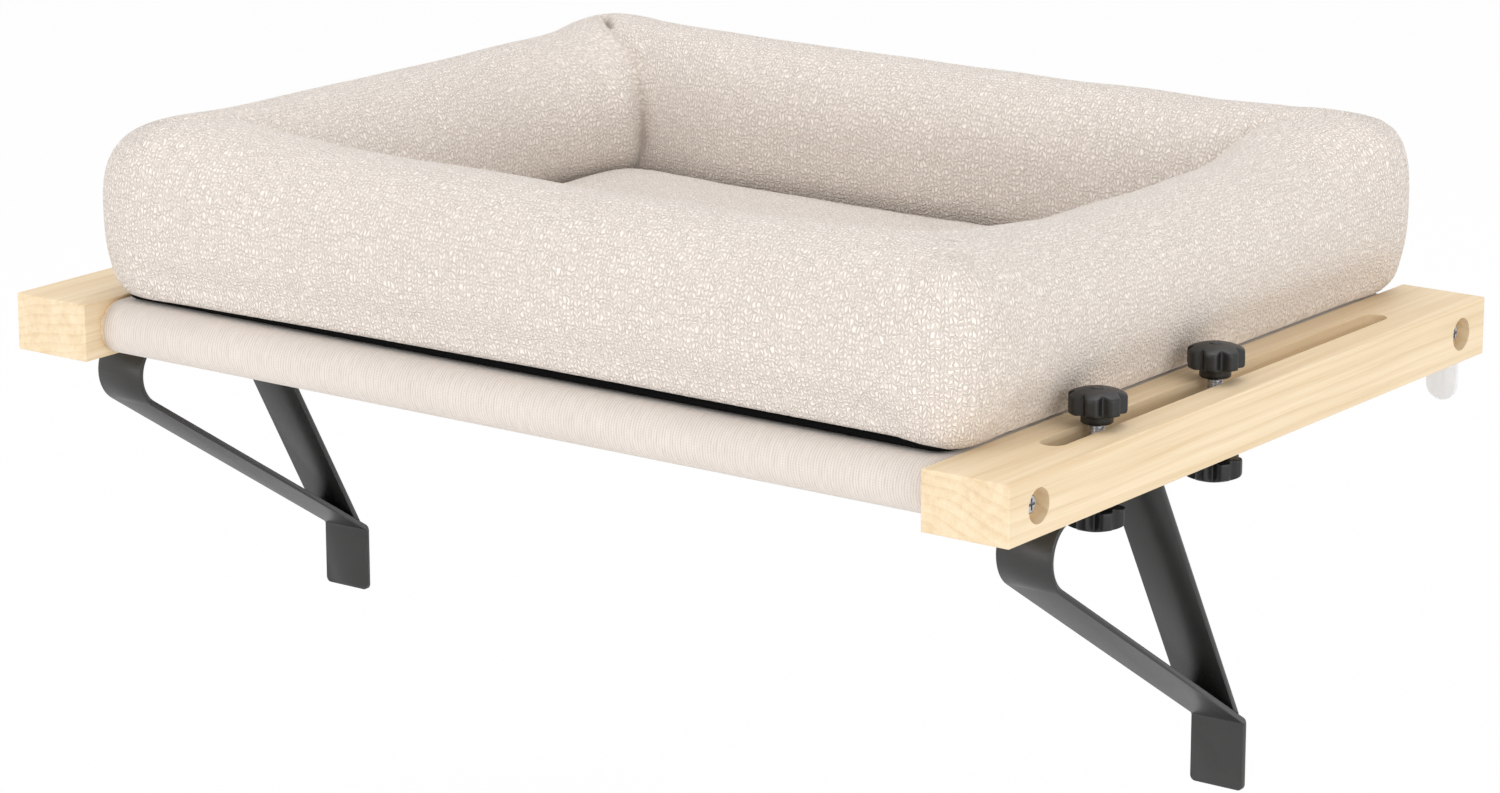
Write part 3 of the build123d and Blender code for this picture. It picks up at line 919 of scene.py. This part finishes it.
def ring_cloth_map(pitch):
    """The bolster cover's flat places: along the outer wall, and round the section."""
    arc_x, arc_y = BED_HALF_X - BED_CORNER, BED_HALF_Y - BED_CORNER
    quarter = BED_CORNER * math.pi / 2
    length = 4 * (arc_x + arc_y) + 4 * quarter
    scale = round(length / pitch) * pitch / length
    outline = np.array(section(0.0, LEFT_RIDGE, 0.0, FOOT_IN_FRONT, 0.45, 2.2, 2.2, 2.0))
    middle = np.array([BOLSTER_WIDTH / 2, LEFT_RIDGE * 0.47])
    angles = np.unwrap(np.arctan2(outline[:, 1] - middle[1], outline[:, 0] - middle[0]))
    lengths = run_along(outline)
    order = np.argsort(angles)
    angles, lengths = angles[order], lengths[order]

    def mapping(points, centres):
        near = in_from_sides(centres).argmin(axis=0)
        x, y = points[:, 0], points[:, 1]
        along = np.choose(near, [x, y, -x, -y])
        inward = np.choose(near, in_from_sides(points))
        straight = np.where(near % 2 == 0, arc_x, arc_y)
        past_run = np.abs(along) - straight
        past_out = BED_CORNER - inward
        bent = (past_run > 0) & (past_out > 0)
        angle = np.arctan2(past_run, np.maximum(past_out, 1e-9))
        spread = np.hypot(past_run, past_out)
        round_share = faded(spread, 0.004, 0.034)
        bent_run = past_run + (BED_CORNER * angle - past_run) * round_share
        run = np.where(bent, straight + bent_run, np.abs(along)) * np.sign(along)
        depth = np.where(bent, BED_CORNER - spread, inward)
        side_to_side = arc_x + arc_y + quarter
        offsets = side_to_side * np.arange(4)
        around = np.arctan2(points[:, 2] - BED_FOOT_Z - middle[1], depth - middle[0])
        spare = math.pi - (angles[-1] - angles[0]) / 2
        around = (around - angles[0] + spare) % (2 * math.pi) + angles[0] - spare
        return np.stack([(run + offsets[near]) * scale, np.interp(around, angles, lengths)], axis=1)

    return mapping


def pad_form(inset):
    """Points and faces of the pad: nested rounded rectangles from the underside to the crown."""
    half_x = BED_HALF_X - BOLSTER_WIDTH + PAD_REACH
    half_y = BED_HALF_Y - BOLSTER_WIDTH + PAD_REACH
    rings = [(0.0, 0.9 * half_y), (0.0, 0.35 * half_y), (0.0, 0.004)]
    rings += [(0.003, 0.0008), (0.008, 0.0), (0.013, 0.002)]
    for share in (0.05, 0.1, 0.18, 0.28, 0.4, 0.55, 0.72, 0.9):
        rise = (PAD_CROWN - PAD_EDGE - inset) * (1 - (1 - share) ** 2.4)
        rings.append((PAD_EDGE + rise, share * half_y))
    outlines = []
    for z, shrink in rings:
        wide, deep = half_x - shrink, half_y - shrink
        outlines.append((BED_FOOT_Z + z, wide, deep, min(PAD_CORNER, deep * 0.9)))
    return stacked_outlines(outlines, 96)


def stacked_outlines(outlines, count):
    """Points and faces of a closed form: rounded rectangles, each a height, two half sizes and a corner."""
    points = []
    for z, wide, deep, corner in outlines:
        for k in range(count):
            angle = 2 * math.pi * (k + 0.5) / count
            c, s = math.cos(angle), math.sin(angle)
            x = math.copysign(wide - corner, c) + corner * c
            y = math.copysign(deep - corner, s) + corner * s
            points.append((x, y, z))
    faces = []
    for i in range(len(outlines) - 1):
        for k in range(count):
            m = (k + 1) % count
            faces.append((i * count + k, i * count + m, (i + 1) * count + m, (i + 1) * count + k))
    faces.append(tuple(reversed(range(count))))
    faces.append(tuple(range((len(outlines) - 1) * count, len(outlines) * count)))
    return points, faces


def soft_waves(points, amount, size):
    """A slow, seeded unevenness, as filling gives a cover."""
    random = np.random.default_rng(7)
    waves = 10
    total = np.zeros(len(points))
    for _ in range(waves):
        direction = random.normal(size=3)
        direction *= 2 * math.pi / size / np.linalg.norm(direction) * random.uniform(0.6, 1.6)
        total += np.sin(points @ direction + random.uniform(0, 2 * math.pi))
    return total / waves**0.5 * amount


def mitre_place(from_x, from_y):
    """A place by a corner: how far off the mitre, and how far in along it."""
    return (from_x - from_y) / math.sqrt(2), (from_x + from_y) / 2


def bell(distance, width):
    """1 at no distance, falling smoothly over a width."""
    return np.exp(-((distance / width) ** 2))


def pinch_spot(points, width):
    """1 at the pinched spot of the front right corner, 0 away from it."""
    return bell(np.hypot(points[:, 0] - PINCH_X, points[:, 1] - PINCH_Y), width)


def corner_seams(points):
    """Depth of the tucks sewn into the corners, each along the mitre and facing up or inwards."""
    high = faded(points[:, 2], BED_FOOT_Z + 0.012, BED_FOOT_Z + 0.035)
    total = np.zeros(len(points))
    for sign_x, sign_y, start, end, depth, width in TUCKS:
        off, inward = mitre_place(BED_HALF_X - sign_x * points[:, 0], BED_HALF_Y - sign_y * points[:, 1])
        fade = min(width, 0.006)
        along = faded(inward, start - fade, start + fade / 2) * faded(inward, end + fade, end - fade / 2)
        total += depth * bell(off, width) * along * high
    return total + 0.0024 * pinch_spot(points, 0.0019) * high


def paint_crease_shade(mesh, points):
    """Marks where shade is painted into the creases and pinched spots of the cover, 1 in the creases and 0
    away from them.
    """
    off, inward = mitre_place(BED_HALF_X - np.abs(points[:, 0]), BED_HALF_Y - np.abs(points[:, 1]))
    left, rear = points[:, 0] < 0, points[:, 1] > 0
    top = faded(points[:, 2], BED_FOOT_Z + 0.070, BED_FOOT_Z + 0.080)
    crease_shade = bell(off, 0.0013) * faded(inward, 0.039, 0.043) * (left & rear)
    crease_shade *= 0.35 + 0.65 * np.maximum(faded(inward, 0.056, 0.048), faded(points[:, 2], 0.095, 0.060))
    pucker_shade = bell(off, 0.0008) * faded(inward, 0.031, 0.035) * faded(inward, 0.056, 0.050)
    pucker_shade *= 0.75 * top * (left & ~rear)
    seam = np.clip(crease_shade + pucker_shade + pinch_spot(points, 0.0017) * top, 0.0, 1.0)
    # The seam attribute carries this painted shade to the knit's colour.
    layer = mesh.attributes.new("seam", "FLOAT", "POINT")
    layer.data.foreach_set("value", seam.astype(np.float32))


def end_bulge(points):
    """How far the left bolster's rear end swells over the inner corner, towards the right."""
    x, z = points[:, 0], points[:, 2]
    wall = BOLSTER_WIDTH - BED_HALF_X
    before = (BED_HALF_Y - points[:, 1]) - (BED_HALF_X + x)
    swell = 0.015 * bell(before, 0.055) + 0.0035 * bell(before - 0.010, 0.010)
    reach = faded(x, wall - BOLSTER_WIDTH / 2, wall) * faded(x, wall + 0.100, wall)
    tall = faded(z, 0.1235, 0.108) * faded(z, BED_FOOT_Z - 0.010, BED_FOOT_Z + 0.030)
    return swell * reach * tall


def hem_drop(points):
    """How far the outer hem hangs below the foot, fading out above it and towards the middle."""
    x, y = np.abs(points[:, 0]), np.abs(points[:, 1])
    past_x, past_y = x - (BED_HALF_X - BED_CORNER), y - (BED_HALF_Y - BED_CORNER)
    outside = np.hypot(np.maximum(past_x, 0.0), np.maximum(past_y, 0.0))
    inward = BED_CORNER - outside - np.minimum(np.maximum(past_x, past_y), 0.0)
    drop = np.where(points[:, 1] < -0.15, np.interp(points[:, 0], HEM_PLACES, HEM_DROPS), HEM_DROP)
    low = faded(points[:, 2], BED_FOOT_Z + 0.018, BED_FOOT_Z)
    return drop * low * faded(inward, 0.0235, 0.0195)


def refine(mesh, wanted):
    """Halves the quads of a mesh between the wanted points."""
    with edited(mesh) as work:
        edges = [e for e in work.edges if wanted[e.verts[0].index] and wanted[e.verts[1].index]]
        bmesh.ops.subdivide_edges(work, edges=edges, cuts=1, use_grid_fill=True, smooth=0.0)


def relax(mesh, wanted):
    """Evens out the wanted points a little, so that a tuck has no steps."""
    every_way = {"use_axis_x": True, "use_axis_y": True, "use_axis_z": True}
    with edited(mesh) as work:
        verts = [v for v in work.verts if wanted[v.index]]
        for _ in range(3):
            bmesh.ops.smooth_vert(work, verts=verts, factor=0.5, **every_way)


# Settings ------------------------------------------------------------------------


def colour_property(name, description, default):
    """A colour setting."""
    return bpy.props.FloatVectorProperty(
        name=name, description=description, default=default, subtype="COLOR", size=3, min=0.0, max=1.0
    )


def number_property(name, description, default, least=0.0, **settings):
    """A plain number, a length or an angle."""
    return bpy.props.FloatProperty(name=name, description=description, default=default, min=least, **settings)


def length_property(name, description, default):
    """A length setting in metres."""
    return number_property(name, description, default, unit="LENGTH", subtype="DISTANCE", precision=5)


def angle_property(name, description, degrees):
    """An angle setting."""
    return number_property(name, description, math.radians(degrees), -math.pi, subtype="ANGLE")


class PerchCloth(bpy.types.PropertyGroup):
    """Sizes and colours of the soft pieces."""

    bed_colour: colour_property("Bed colour", "Colour of the knitted bed cover", (0.935, 0.855, 0.786))
    sling_colour: colour_property("Sling colour", "Colour of the sling cloth", (0.725, 0.655, 0.598))
    under_colour: colour_property("Underside colour", "Colour of the bed's underside", (0.004, 0.004, 0.004))
    knit_column: length_property("Knit column", "Width of one column of stitches", 0.0022)
    knit_row: length_property("Knit row", "Height of one row of stitches", 0.0028)
    knit_depth: length_property("Knit depth", "Relief of the stitches", 0.0010)
    weave_pitch: length_property("Weave pitch", "Width of one thread of the sling cloth", 0.0016)
    swell: length_property("Swell", "How far the filling may push the cover out", 0.004)
    mesh_size: length_property("Mesh size", "Size of the cover's quads while it swells", 0.005)
    ring_pressure: number_property("Ring pressure", "Pressure of the filling in the bolsters", 16.0)
    pad_pressure: number_property("Pad pressure", "Pressure of the filling in the pad", 4.0)


class PerchHard(bpy.types.PropertyGroup):
    """Sizes and colours of the hard pieces."""

    wood_pale: colour_property("Wood", "Pale wood between the growth rings", (0.887, 0.742, 0.531))
    wood_dark: colour_property("Grain", "Darker wood of the growth rings", (0.64, 0.45, 0.237))
    paint: colour_property("Bracket paint", "Powder coat on the steel brackets", (0.027, 0.027, 0.0257))
    knob: colour_property("Knob colour", "Moulded plastic of the star knobs", (0.007, 0.0072, 0.0072))
    tab: colour_property("Tab colour", "See-through plastic of the sill tabs", (0.92, 0.925, 0.94))
    zinc: colour_property("Zinc colour", "Plating on studs and screws", (0.62, 0.63, 0.65))
    brass: colour_property("Insert colour", "Brass of the knobs' inserts", (0.66, 0.48, 0.22))
    thread_pitch: length_property("Thread pitch", "Rise of the studs' thread in one turn", 0.00125)
    edge: length_property("Broken edge", "Width of the bevel on bent steel edges", 0.00035)


class PerchStage(bpy.types.PropertyGroup):
    """Camera and studio settings."""

    lens: number_property("Lens", "Focal length in millimetres", 117.0, 1.0)
    azimuth: angle_property("Azimuth", "Camera's direction round the object", 36.62)
    elevation: angle_property("Elevation", "Camera's tilt above level", 14.78)
    floor_drop: length_property("Floor drop", "Gap between the lowest steel and the floor", 0.16)
    world_level: number_property("World level", "Even light from all round", 0.71)
    key_power: number_property("Key power", "Power of the front soft box", 35.0)
    side_power: number_property("Side power", "Power of the right soft box", 38.0)
    top_power: number_property("Top power", "Power of the upper soft box", 27.0)


# Operators -----------------------------------------------------------------------


class PERCH_OT_wood(bpy.types.Operator):
    """Puts planed wood on the rails and the dowels"""

    bl_idname = "perch.wood"
    bl_label = "Wooden rails and dowels"

    def execute(self, context):
        hard = context.scene.perch_hard
        lengthwise = wood_finish("rail_wood", hard.wood_pale, hard.wood_dark, "Y")
        crosswise = wood_finish("dowel_wood", hard.wood_pale, hard.wood_dark, "X")
        for side in SIDES:
            coat(NODES[f"{side}_rail"].data, lengthwise)
        for place in PLACES:
            coat(NODES[f"{place}_dowel"].data, crosswise)
        return {"FINISHED"}


class PERCH_OT_brackets(bpy.types.Operator):
    """Makes the bent steel brackets with broken edges and satin paint"""

    bl_idname = "perch.brackets"
    bl_label = "Steel brackets"

    def execute(self, context):
        hard = context.scene.perch_hard
        paint = paint_finish("bracket_paint", hard.paint)
        for side in SIDES:
            for form in ("strip", "brace"):
                node = f"{side}_bracket_{form}"
                eased_solid(node, node + "_painted", f"{side}_bracket", paint, hard.edge)
        return {"FINISHED"}


class PERCH_OT_knobs(bpy.types.Operator):
    """Makes the star knobs, their threaded studs and their inserts"""

    bl_idname = "perch.knobs"
    bl_label = "Star knobs and studs"

    def execute(self, context):
        hard = context.scene.perch_hard
        plastic = moulded_finish("knob_plastic", hard.knob, 0.42, 0.00004)
        zinc = metal_finish("stud_zinc", hard.zinc, 0.2)
        brass = metal_finish("insert_brass", hard.brass, 0.25)
        knob_tree, rod_tree = star_knob_tree(), stud_tree()
        for side in SIDES:
            for place in PLACES:
                stem = f"{side}_{place}"
                self.knob(knob_tree, f"{stem}_upper_knob", KNOB_Y[place], False, plastic)
                self.knob(knob_tree, f"{stem}_lower_knob", KNOB_Y[place], True, plastic)
                self.stud(rod_tree, f"{stem}_stud", hard.thread_pitch, zinc)
                coat(NODES[f"{stem}_insert"].data, brass)
        return {"FINISHED"}

    def knob(self, tree, node, y, upside_down, material):
        """One star knob on its own axis, its hub towards the rail."""
        low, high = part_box(node)
        middle_x = round((low[0] + high[0]) / 2, 3)
        turn = math.radians(8.0) + math.pi / 7
        hub_z, turned = (high[2], (math.pi, 0.0, -turn)) if upside_down else (low[2], (0.0, 0.0, turn))
        values = {"Place": (middle_x, y, hub_z), "Turned": turned}
        knob = grown(node + "_moulded", tree, values, node, material)
        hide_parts(node)

    def stud(self, tree, node, pitch, material):
        """One threaded stud."""
        low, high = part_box(node)
        values = {
            "Pitch": pitch,
            "Length": high[2] - low[2],
            "Place": ((low[0] + high[0]) / 2, (low[1] + high[1]) / 2, low[2]),
        }
        stud = grown(node + "_threaded", tree, values, node, material)
        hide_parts(node)


class PERCH_OT_screws(bpy.types.Operator):
    """Puts bright plating on the screws"""

    bl_idname = "perch.screws"
    bl_label = "Screws"

    def execute(self, context):
        zinc = metal_finish("screw_zinc", context.scene.perch_hard.zinc, 0.24)
        for node in ("dowel_screws", "tab_screws"):
            coat(NODES[node].data, zinc)
        return {"FINISHED"}


class PERCH_OT_tabs(bpy.types.Operator):
    """Makes the frosted sill tabs with softened edges"""

    bl_idname = "perch.tabs"
    bl_label = "Sill tabs"

    def execute(self, context):
        plastic = clear_tab_finish("tab_plastic", context.scene.perch_hard.tab)
        for side in SIDES:
            node = f"{side}_sill_tab"
            eased_solid(node, node + "_moulded", f"{side}_tab", plastic, 0.0004)
        return {"FINISHED"}


class PERCH_OT_sling(bpy.types.Operator):
    """Makes the sling cloth, its two sewn sleeves and their stitches"""

    bl_idname = "perch.sling"
    bl_label = "Sling"

    def execute(self, context):
        cloth = context.scene.perch_cloth
        canvas = canvas_finish("sling_canvas", cloth.sling_colour, cloth.weave_pitch, 0.00022)
        low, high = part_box("sling")
        outer, thick, seam_back, row_gap, end_gap = 0.01385, 0.0008, 0.0245, 0.004, 0.003
        centre_z = high[2] - outer
        front, rear = low[1] + outer, high[1] - outer
        path = self.path(front, rear, centre_z, outer - thick / 2)
        width = high[0] - low[0]
        sheet, length = self.sheet(path, low[0], width, thick)
        sling = make_piece("sling_cloth", *sheet, "frame", "sling_cloth", canvas)
        self.map_cloth(sling.data, path)
        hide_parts("sling")
        thread = canvas_finish("sewing_thread", cloth.sling_colour, 0.0006, 0.0001)
        tree = stitch_tree()
        z = high[2] - 2 * thick - 0.0004
        for label, seam, way in (("front", front + seam_back, 1), ("rear", rear - seam_back, -1)):
            for row, shift in (("inner", 0.0), ("outer", row_gap)):
                y = seam + way * shift
                values = {"Start": (low[0] + end_gap, y, z), "End": (high[0] - end_gap, y, z)}
                name = f"sling_{label}_{row}_stitches"
                grown(name, tree, values, "frame", thread)
        return {"FINISHED"}

    def path(self, front, rear, centre_z, radius):
        """The sheet's middle line seen from the side: tail, sleeve, deck, sleeve and tail."""
        top = centre_z + radius
        under = top - 0.00085
        tail = [(front + back, under) for back in (0.032, 0.028, 0.0245)] + [(front + 0.022, under - 0.0004)]
        leave, round_dowel = math.radians(-52), 2 * math.pi - math.radians(142)
        ring = []
        for step in range(41):
            angle = leave - round_dowel * step / 40
            ring.append((front + radius * math.cos(angle), centre_z + radius * math.sin(angle)))
        deck = [(front + (rear - front) * k / 24, top) for k in range(1, 24)]
        half = tail + ring
        back = [(front + rear - y, z) for y, z in reversed(half)]
        return half + deck + back

    def sheet(self, path, start_x, width, thick):
        """Points and faces of the cloth, with its thickness, and its length along the path."""
        line = np.array(path)
        step = np.gradient(line, axis=0)
        step /= np.linalg.norm(step, axis=1)[:, None]
        normal = np.stack([-step[:, 1], step[:, 0]], axis=1)
        length = float(run_along(line)[-1])
        outside, inside = line + normal * thick / 2, line - normal * thick / 2
        count, columns = len(line), 60
        points = []
        for column in range(columns + 1):
            x = start_x + width * column / columns
            points += [(x, y, z) for y, z in outside] + [(x, y, z) for y, z in inside]
        faces = []
        for column in range(columns):
            a, b = column * 2 * count, (column + 1) * 2 * count
            for k in range(count - 1):
                faces.append((a + k, a + k + 1, b + k + 1, b + k))
                faces.append((a + count + k, b + count + k, b + count + k + 1, a + count + k + 1))
            faces.append((a, b, b + count, a + count))
            faces.append((a + count - 1, a + 2 * count - 1, b + 2 * count - 1, b + count - 1))
        last = columns * 2 * count
        for k in range(count - 1):
            faces.append((k, k + count, k + count + 1, k + 1))
            faces.append((last + k, last + k + 1, last + k + count + 1, last + k + count))
        return (points, faces), length

    def map_cloth(self, mesh, path):
        """The cloth's flat places: across its width and along its path."""
        run = run_along(np.array(path))
        corner_point = values_of(mesh.loops, "vertex_index", kind=np.int64)
        along = run[corner_point % len(run)]
        across = coordinates(mesh)[corner_point][:, 0]
        write_cloth_map(mesh, np.stack([across, along], axis=1))


class PERCH_OT_bed(bpy.types.Operator):
    """Makes the stuffed bolster ring, the pad and the dark underside"""

    bl_idname = "perch.bed"
    bl_label = "Bed"

    def execute(self, context):
        cloth = context.scene.perch_cloth
        stitch = (cloth.knit_column, cloth.knit_row, cloth.knit_depth)
        knit = knit_finish("bed_knit", cloth.bed_colour, *stitch, 0.2)
        self.ring(cloth, knit)
        self.pad(cloth, knit)
        self.underside(felt_finish("underside_felt", cloth.under_colour))
        return {"FINISHED"}

    def ring(self, cloth, knit):
        """The bolster ring with its corner tucks and its hem."""
        even = even_mesh("ring_start", bolster_ring(cloth.swell), cloth.mesh_size)
        mesh = swollen("bed_bolsters", even, cloth.ring_pressure, cloth.swell)
        paint_cloth_map(mesh, ring_cloth_map(cloth.knit_column))
        for depth in (0.0002, 0.0008):
            refine(mesh, corner_seams(coordinates(mesh)) > depth)
        points = coordinates(mesh)
        # Paints shade into the corner creases and the pinched spot.
        paint_crease_shade(mesh, points)
        lift = soft_waves(points, 0.0004, 0.09) - corner_seams(points)
        held = np.clip((points[:, 2] - BED_FOOT_Z) / 0.01, 0.0, 1.0)
        points += point_normals(mesh) * (lift * held)[:, None]
        points[:, 0] += end_bulge(points)
        points[:, 2] -= hem_drop(points)
        set_coordinates(mesh, points)
        relax(mesh, corner_seams(points) > 0.0004)
        ring = show_mesh("bed_bolster_ring", mesh, "bed", knit)
        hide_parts("bed_front_bolster", "bed_rear_bolster", "bed_left_bolster", "bed_right_bolster")

    def underside(self, felt):
        """The dark panel under the bed, a little smaller than the hem round it."""
        half_x, half_y, corner, round_edge = 0.2575, 0.2019, 0.012, 0.0012
        low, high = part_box("bed_base")
        # How far up or down from a face, and how far in from the edge there
        slope = round_edge * 0.35
        rim = ((0.0, round_edge + 0.012), (0.0, round_edge), (slope, slope), (round_edge, 0.0))
        levels = [(low[2] + up, shrink) for up, shrink in rim]
        levels += [(high[2] - up, shrink) for up, shrink in reversed(rim)]
        rings = [(z, half_x - shrink, half_y - shrink, corner - shrink) for z, shrink in levels]
        form = stacked_outlines(rings, 96)
        panel = make_piece("bed_underside_panel", *form, "bed", "bed_underside", felt)
        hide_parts("bed_base")

    def pad(self, cloth, knit):
        """The loose pad between the bolsters."""
        even = even_mesh("pad_start", pad_form(cloth.swell), cloth.mesh_size)
        mesh = swollen("bed_pad_cover", even, cloth.pad_pressure, cloth.swell)
        points = coordinates(mesh)
        up = np.clip(point_normals(mesh)[:, 2], 0.0, 1.0)
        crest = bell(np.hypot(points[:, 0] + 0.125, points[:, 1] - 0.085), 0.05)
        points[:, 2] += up * (soft_waves(points * np.array([1, 1, 0]), 0.0011, 0.16) + 0.0023 * crest)
        set_coordinates(mesh, points)
        paint_cloth_map(mesh, lambda spots, centres: spots[:, :2])
        pad = show_mesh("bed_pad_cover", mesh, "bed", knit)
        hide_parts("bed_pad")


class PERCH_OT_stage(bpy.types.Operator):
    """Sets up the pale floor, the soft light and the camera"""

    bl_idname = "perch.stage"
    bl_label = "Studio"

    def execute(self, context):
        settings = context.scene.perch_stage
        self.floor(settings)
        self.world(context.scene, settings)
        self.lamps(settings)
        self.camera(context.scene, settings)
        context.scene.view_settings.view_transform = "Standard"
        return {"FINISHED"}

    def seen(self, graph):
        """1 for rays that come from the camera, a mirror or clear plastic."""
        camera = graph.node("ShaderNodeLightPath", output=0)
        outputs = camera.socket.node.outputs
        glossy = Signal(graph, outputs["Is Glossy Ray"])
        clear = Signal(graph, outputs["Is Transmission Ray"])
        return (camera + glossy + clear).math("MINIMUM", 1.0)

    def floor(self, settings):
        """A wide pale floor that stays near white and keeps a soft shadow."""
        f = Finish("studio_floor")
        diffuse = f.node("ShaderNodeBsdfDiffuse", None, {"Color": rgba(WHITE[:3], 0.95)})
        glow = f.node("ShaderNodeEmission", None, {"Color": WHITE, "Strength": 1.0})
        mixed = f.node("ShaderNodeMixShader", None, {0: self.seen(f) * 0.93, 1: diffuse, 2: glow})
        f.node("ShaderNodeOutputMaterial", None, {"Surface": mixed})
        level = SOLIDS_BOX[0][2] - settings.floor_drop
        mesh = bpy.data.meshes.new("studio_floor")
        reach = 14.0
        corners = [(x * reach, y * reach, level) for x, y in ((-1, -1), (1, -1), (1, 1), (-1, 1))]
        mesh.from_pydata(corners, [], [(0, 1, 2, 3)])
        coat(mesh, f.material)
        linked("studio_floor", mesh)

    def world(self, scene, settings):
        """Even light, and white where the camera or a mirror looks past the object."""
        world = bpy.data.worlds.new("studio")
        world.use_nodes = True
        graph = Graph(world.node_tree)
        graph.tree.nodes.clear()
        light, white = [
            graph.node("ShaderNodeBackground", None, {"Color": WHITE, "Strength": level})
            for level in (settings.world_level, 1.0)
        ]
        mixed = graph.node("ShaderNodeMixShader", None, {0: self.seen(graph), 1: light, 2: white})
        graph.node("ShaderNodeOutputWorld", None, {"Surface": mixed})
        scene.world = world

    def lamps(self, settings):
        """Large soft boxes low in front and at the right, and a weaker one overhead."""
        boxes = [
            ("key", (-0.6, -3.0, 1.1), 2.4, settings.key_power),
            ("side", (3.0, -0.8, 0.5), 3.0, settings.side_power),
            ("top", (0.0, 0.7, 3.0), 2.2, settings.top_power),
        ]
        for name, place, size, power in boxes:
            data = bpy.data.lights.new(name, "AREA")
            data.shape = "DISK"
            data.size = size
            data.energy = power
            lamp = linked(name, data)
            lamp.visible_camera = False
            lamp.location = place
            aim = Vector((0.0, 0.0, 0.05)) - Vector(place)
            lamp.rotation_mode = "QUATERNION"
            lamp.rotation_quaternion = aim.to_track_quat("-Z", "Y")

    def camera(self, scene, settings):
        """The photograph's camera: three quarter from the right, a little above."""
        data = bpy.data.cameras.new("camera")
        data.lens = settings.lens
        data.sensor_width = 36.0
        data.shift_x, data.shift_y = -0.0028, -0.0032
        camera = linked("camera", data)
        a, e = settings.azimuth, settings.elevation
        back = Vector((math.sin(a) * math.cos(e), -math.cos(a) * math.cos(e), math.sin(e)))
        camera.location = (1.4592, -1.9654, 0.6227)
        camera.rotation_mode = "QUATERNION"
        roll = Quaternion((0.0, 0.0, 1.0), math.radians(-0.0925))
        camera.rotation_quaternion = (-back).to_track_quat("-Z", "Y") @ roll
        scene.camera = camera


class PERCH_PT_panel(bpy.types.Panel):
    """The perch's settings and steps in the sidebar"""

    bl_idname = "PERCH_PT_panel"
    bl_label = "Window Cat Perch"
    bl_space_type = "VIEW_3D"
    bl_region_type = "UI"
    bl_category = "Perch"

    def draw(self, context):
        layout = self.layout
        for group in (context.scene.perch_cloth, context.scene.perch_hard, context.scene.perch_stage):
            box = layout.box()
            for name in group.__annotations__:
                box.prop(group, name)
        for step in STEPS:
            layout.operator(step.bl_idname)


GROUPS = {"perch_cloth": PerchCloth, "perch_hard": PerchHard, "perch_stage": PerchStage}
STEPS = (
    PERCH_OT_stage,
    PERCH_OT_wood,
    PERCH_OT_brackets,
    PERCH_OT_knobs,
    PERCH_OT_screws,
    PERCH_OT_tabs,
    PERCH_OT_sling,
    PERCH_OT_bed,
)
CLASSES = (*GROUPS.values(), *STEPS, PERCH_PT_panel)


def register():
    """Adds the classes and the scene's settings."""
    for cls in CLASSES:
        bpy.utils.register_class(cls)
    for name, group in GROUPS.items():
        setattr(bpy.types.Scene, name, bpy.props.PointerProperty(type=group))


def unregister():
    """Removes them again."""
    for name in GROUPS:
        delattr(bpy.types.Scene, name)
    for cls in reversed(CLASSES):
        bpy.utils.unregister_class(cls)


def main():
    """Makes every piece."""
    register()
    for step in STEPS:
        family, name = step.bl_idname.split(".")
        getattr(getattr(bpy.ops, family), name)()


if __name__ == "__main__":
    main()
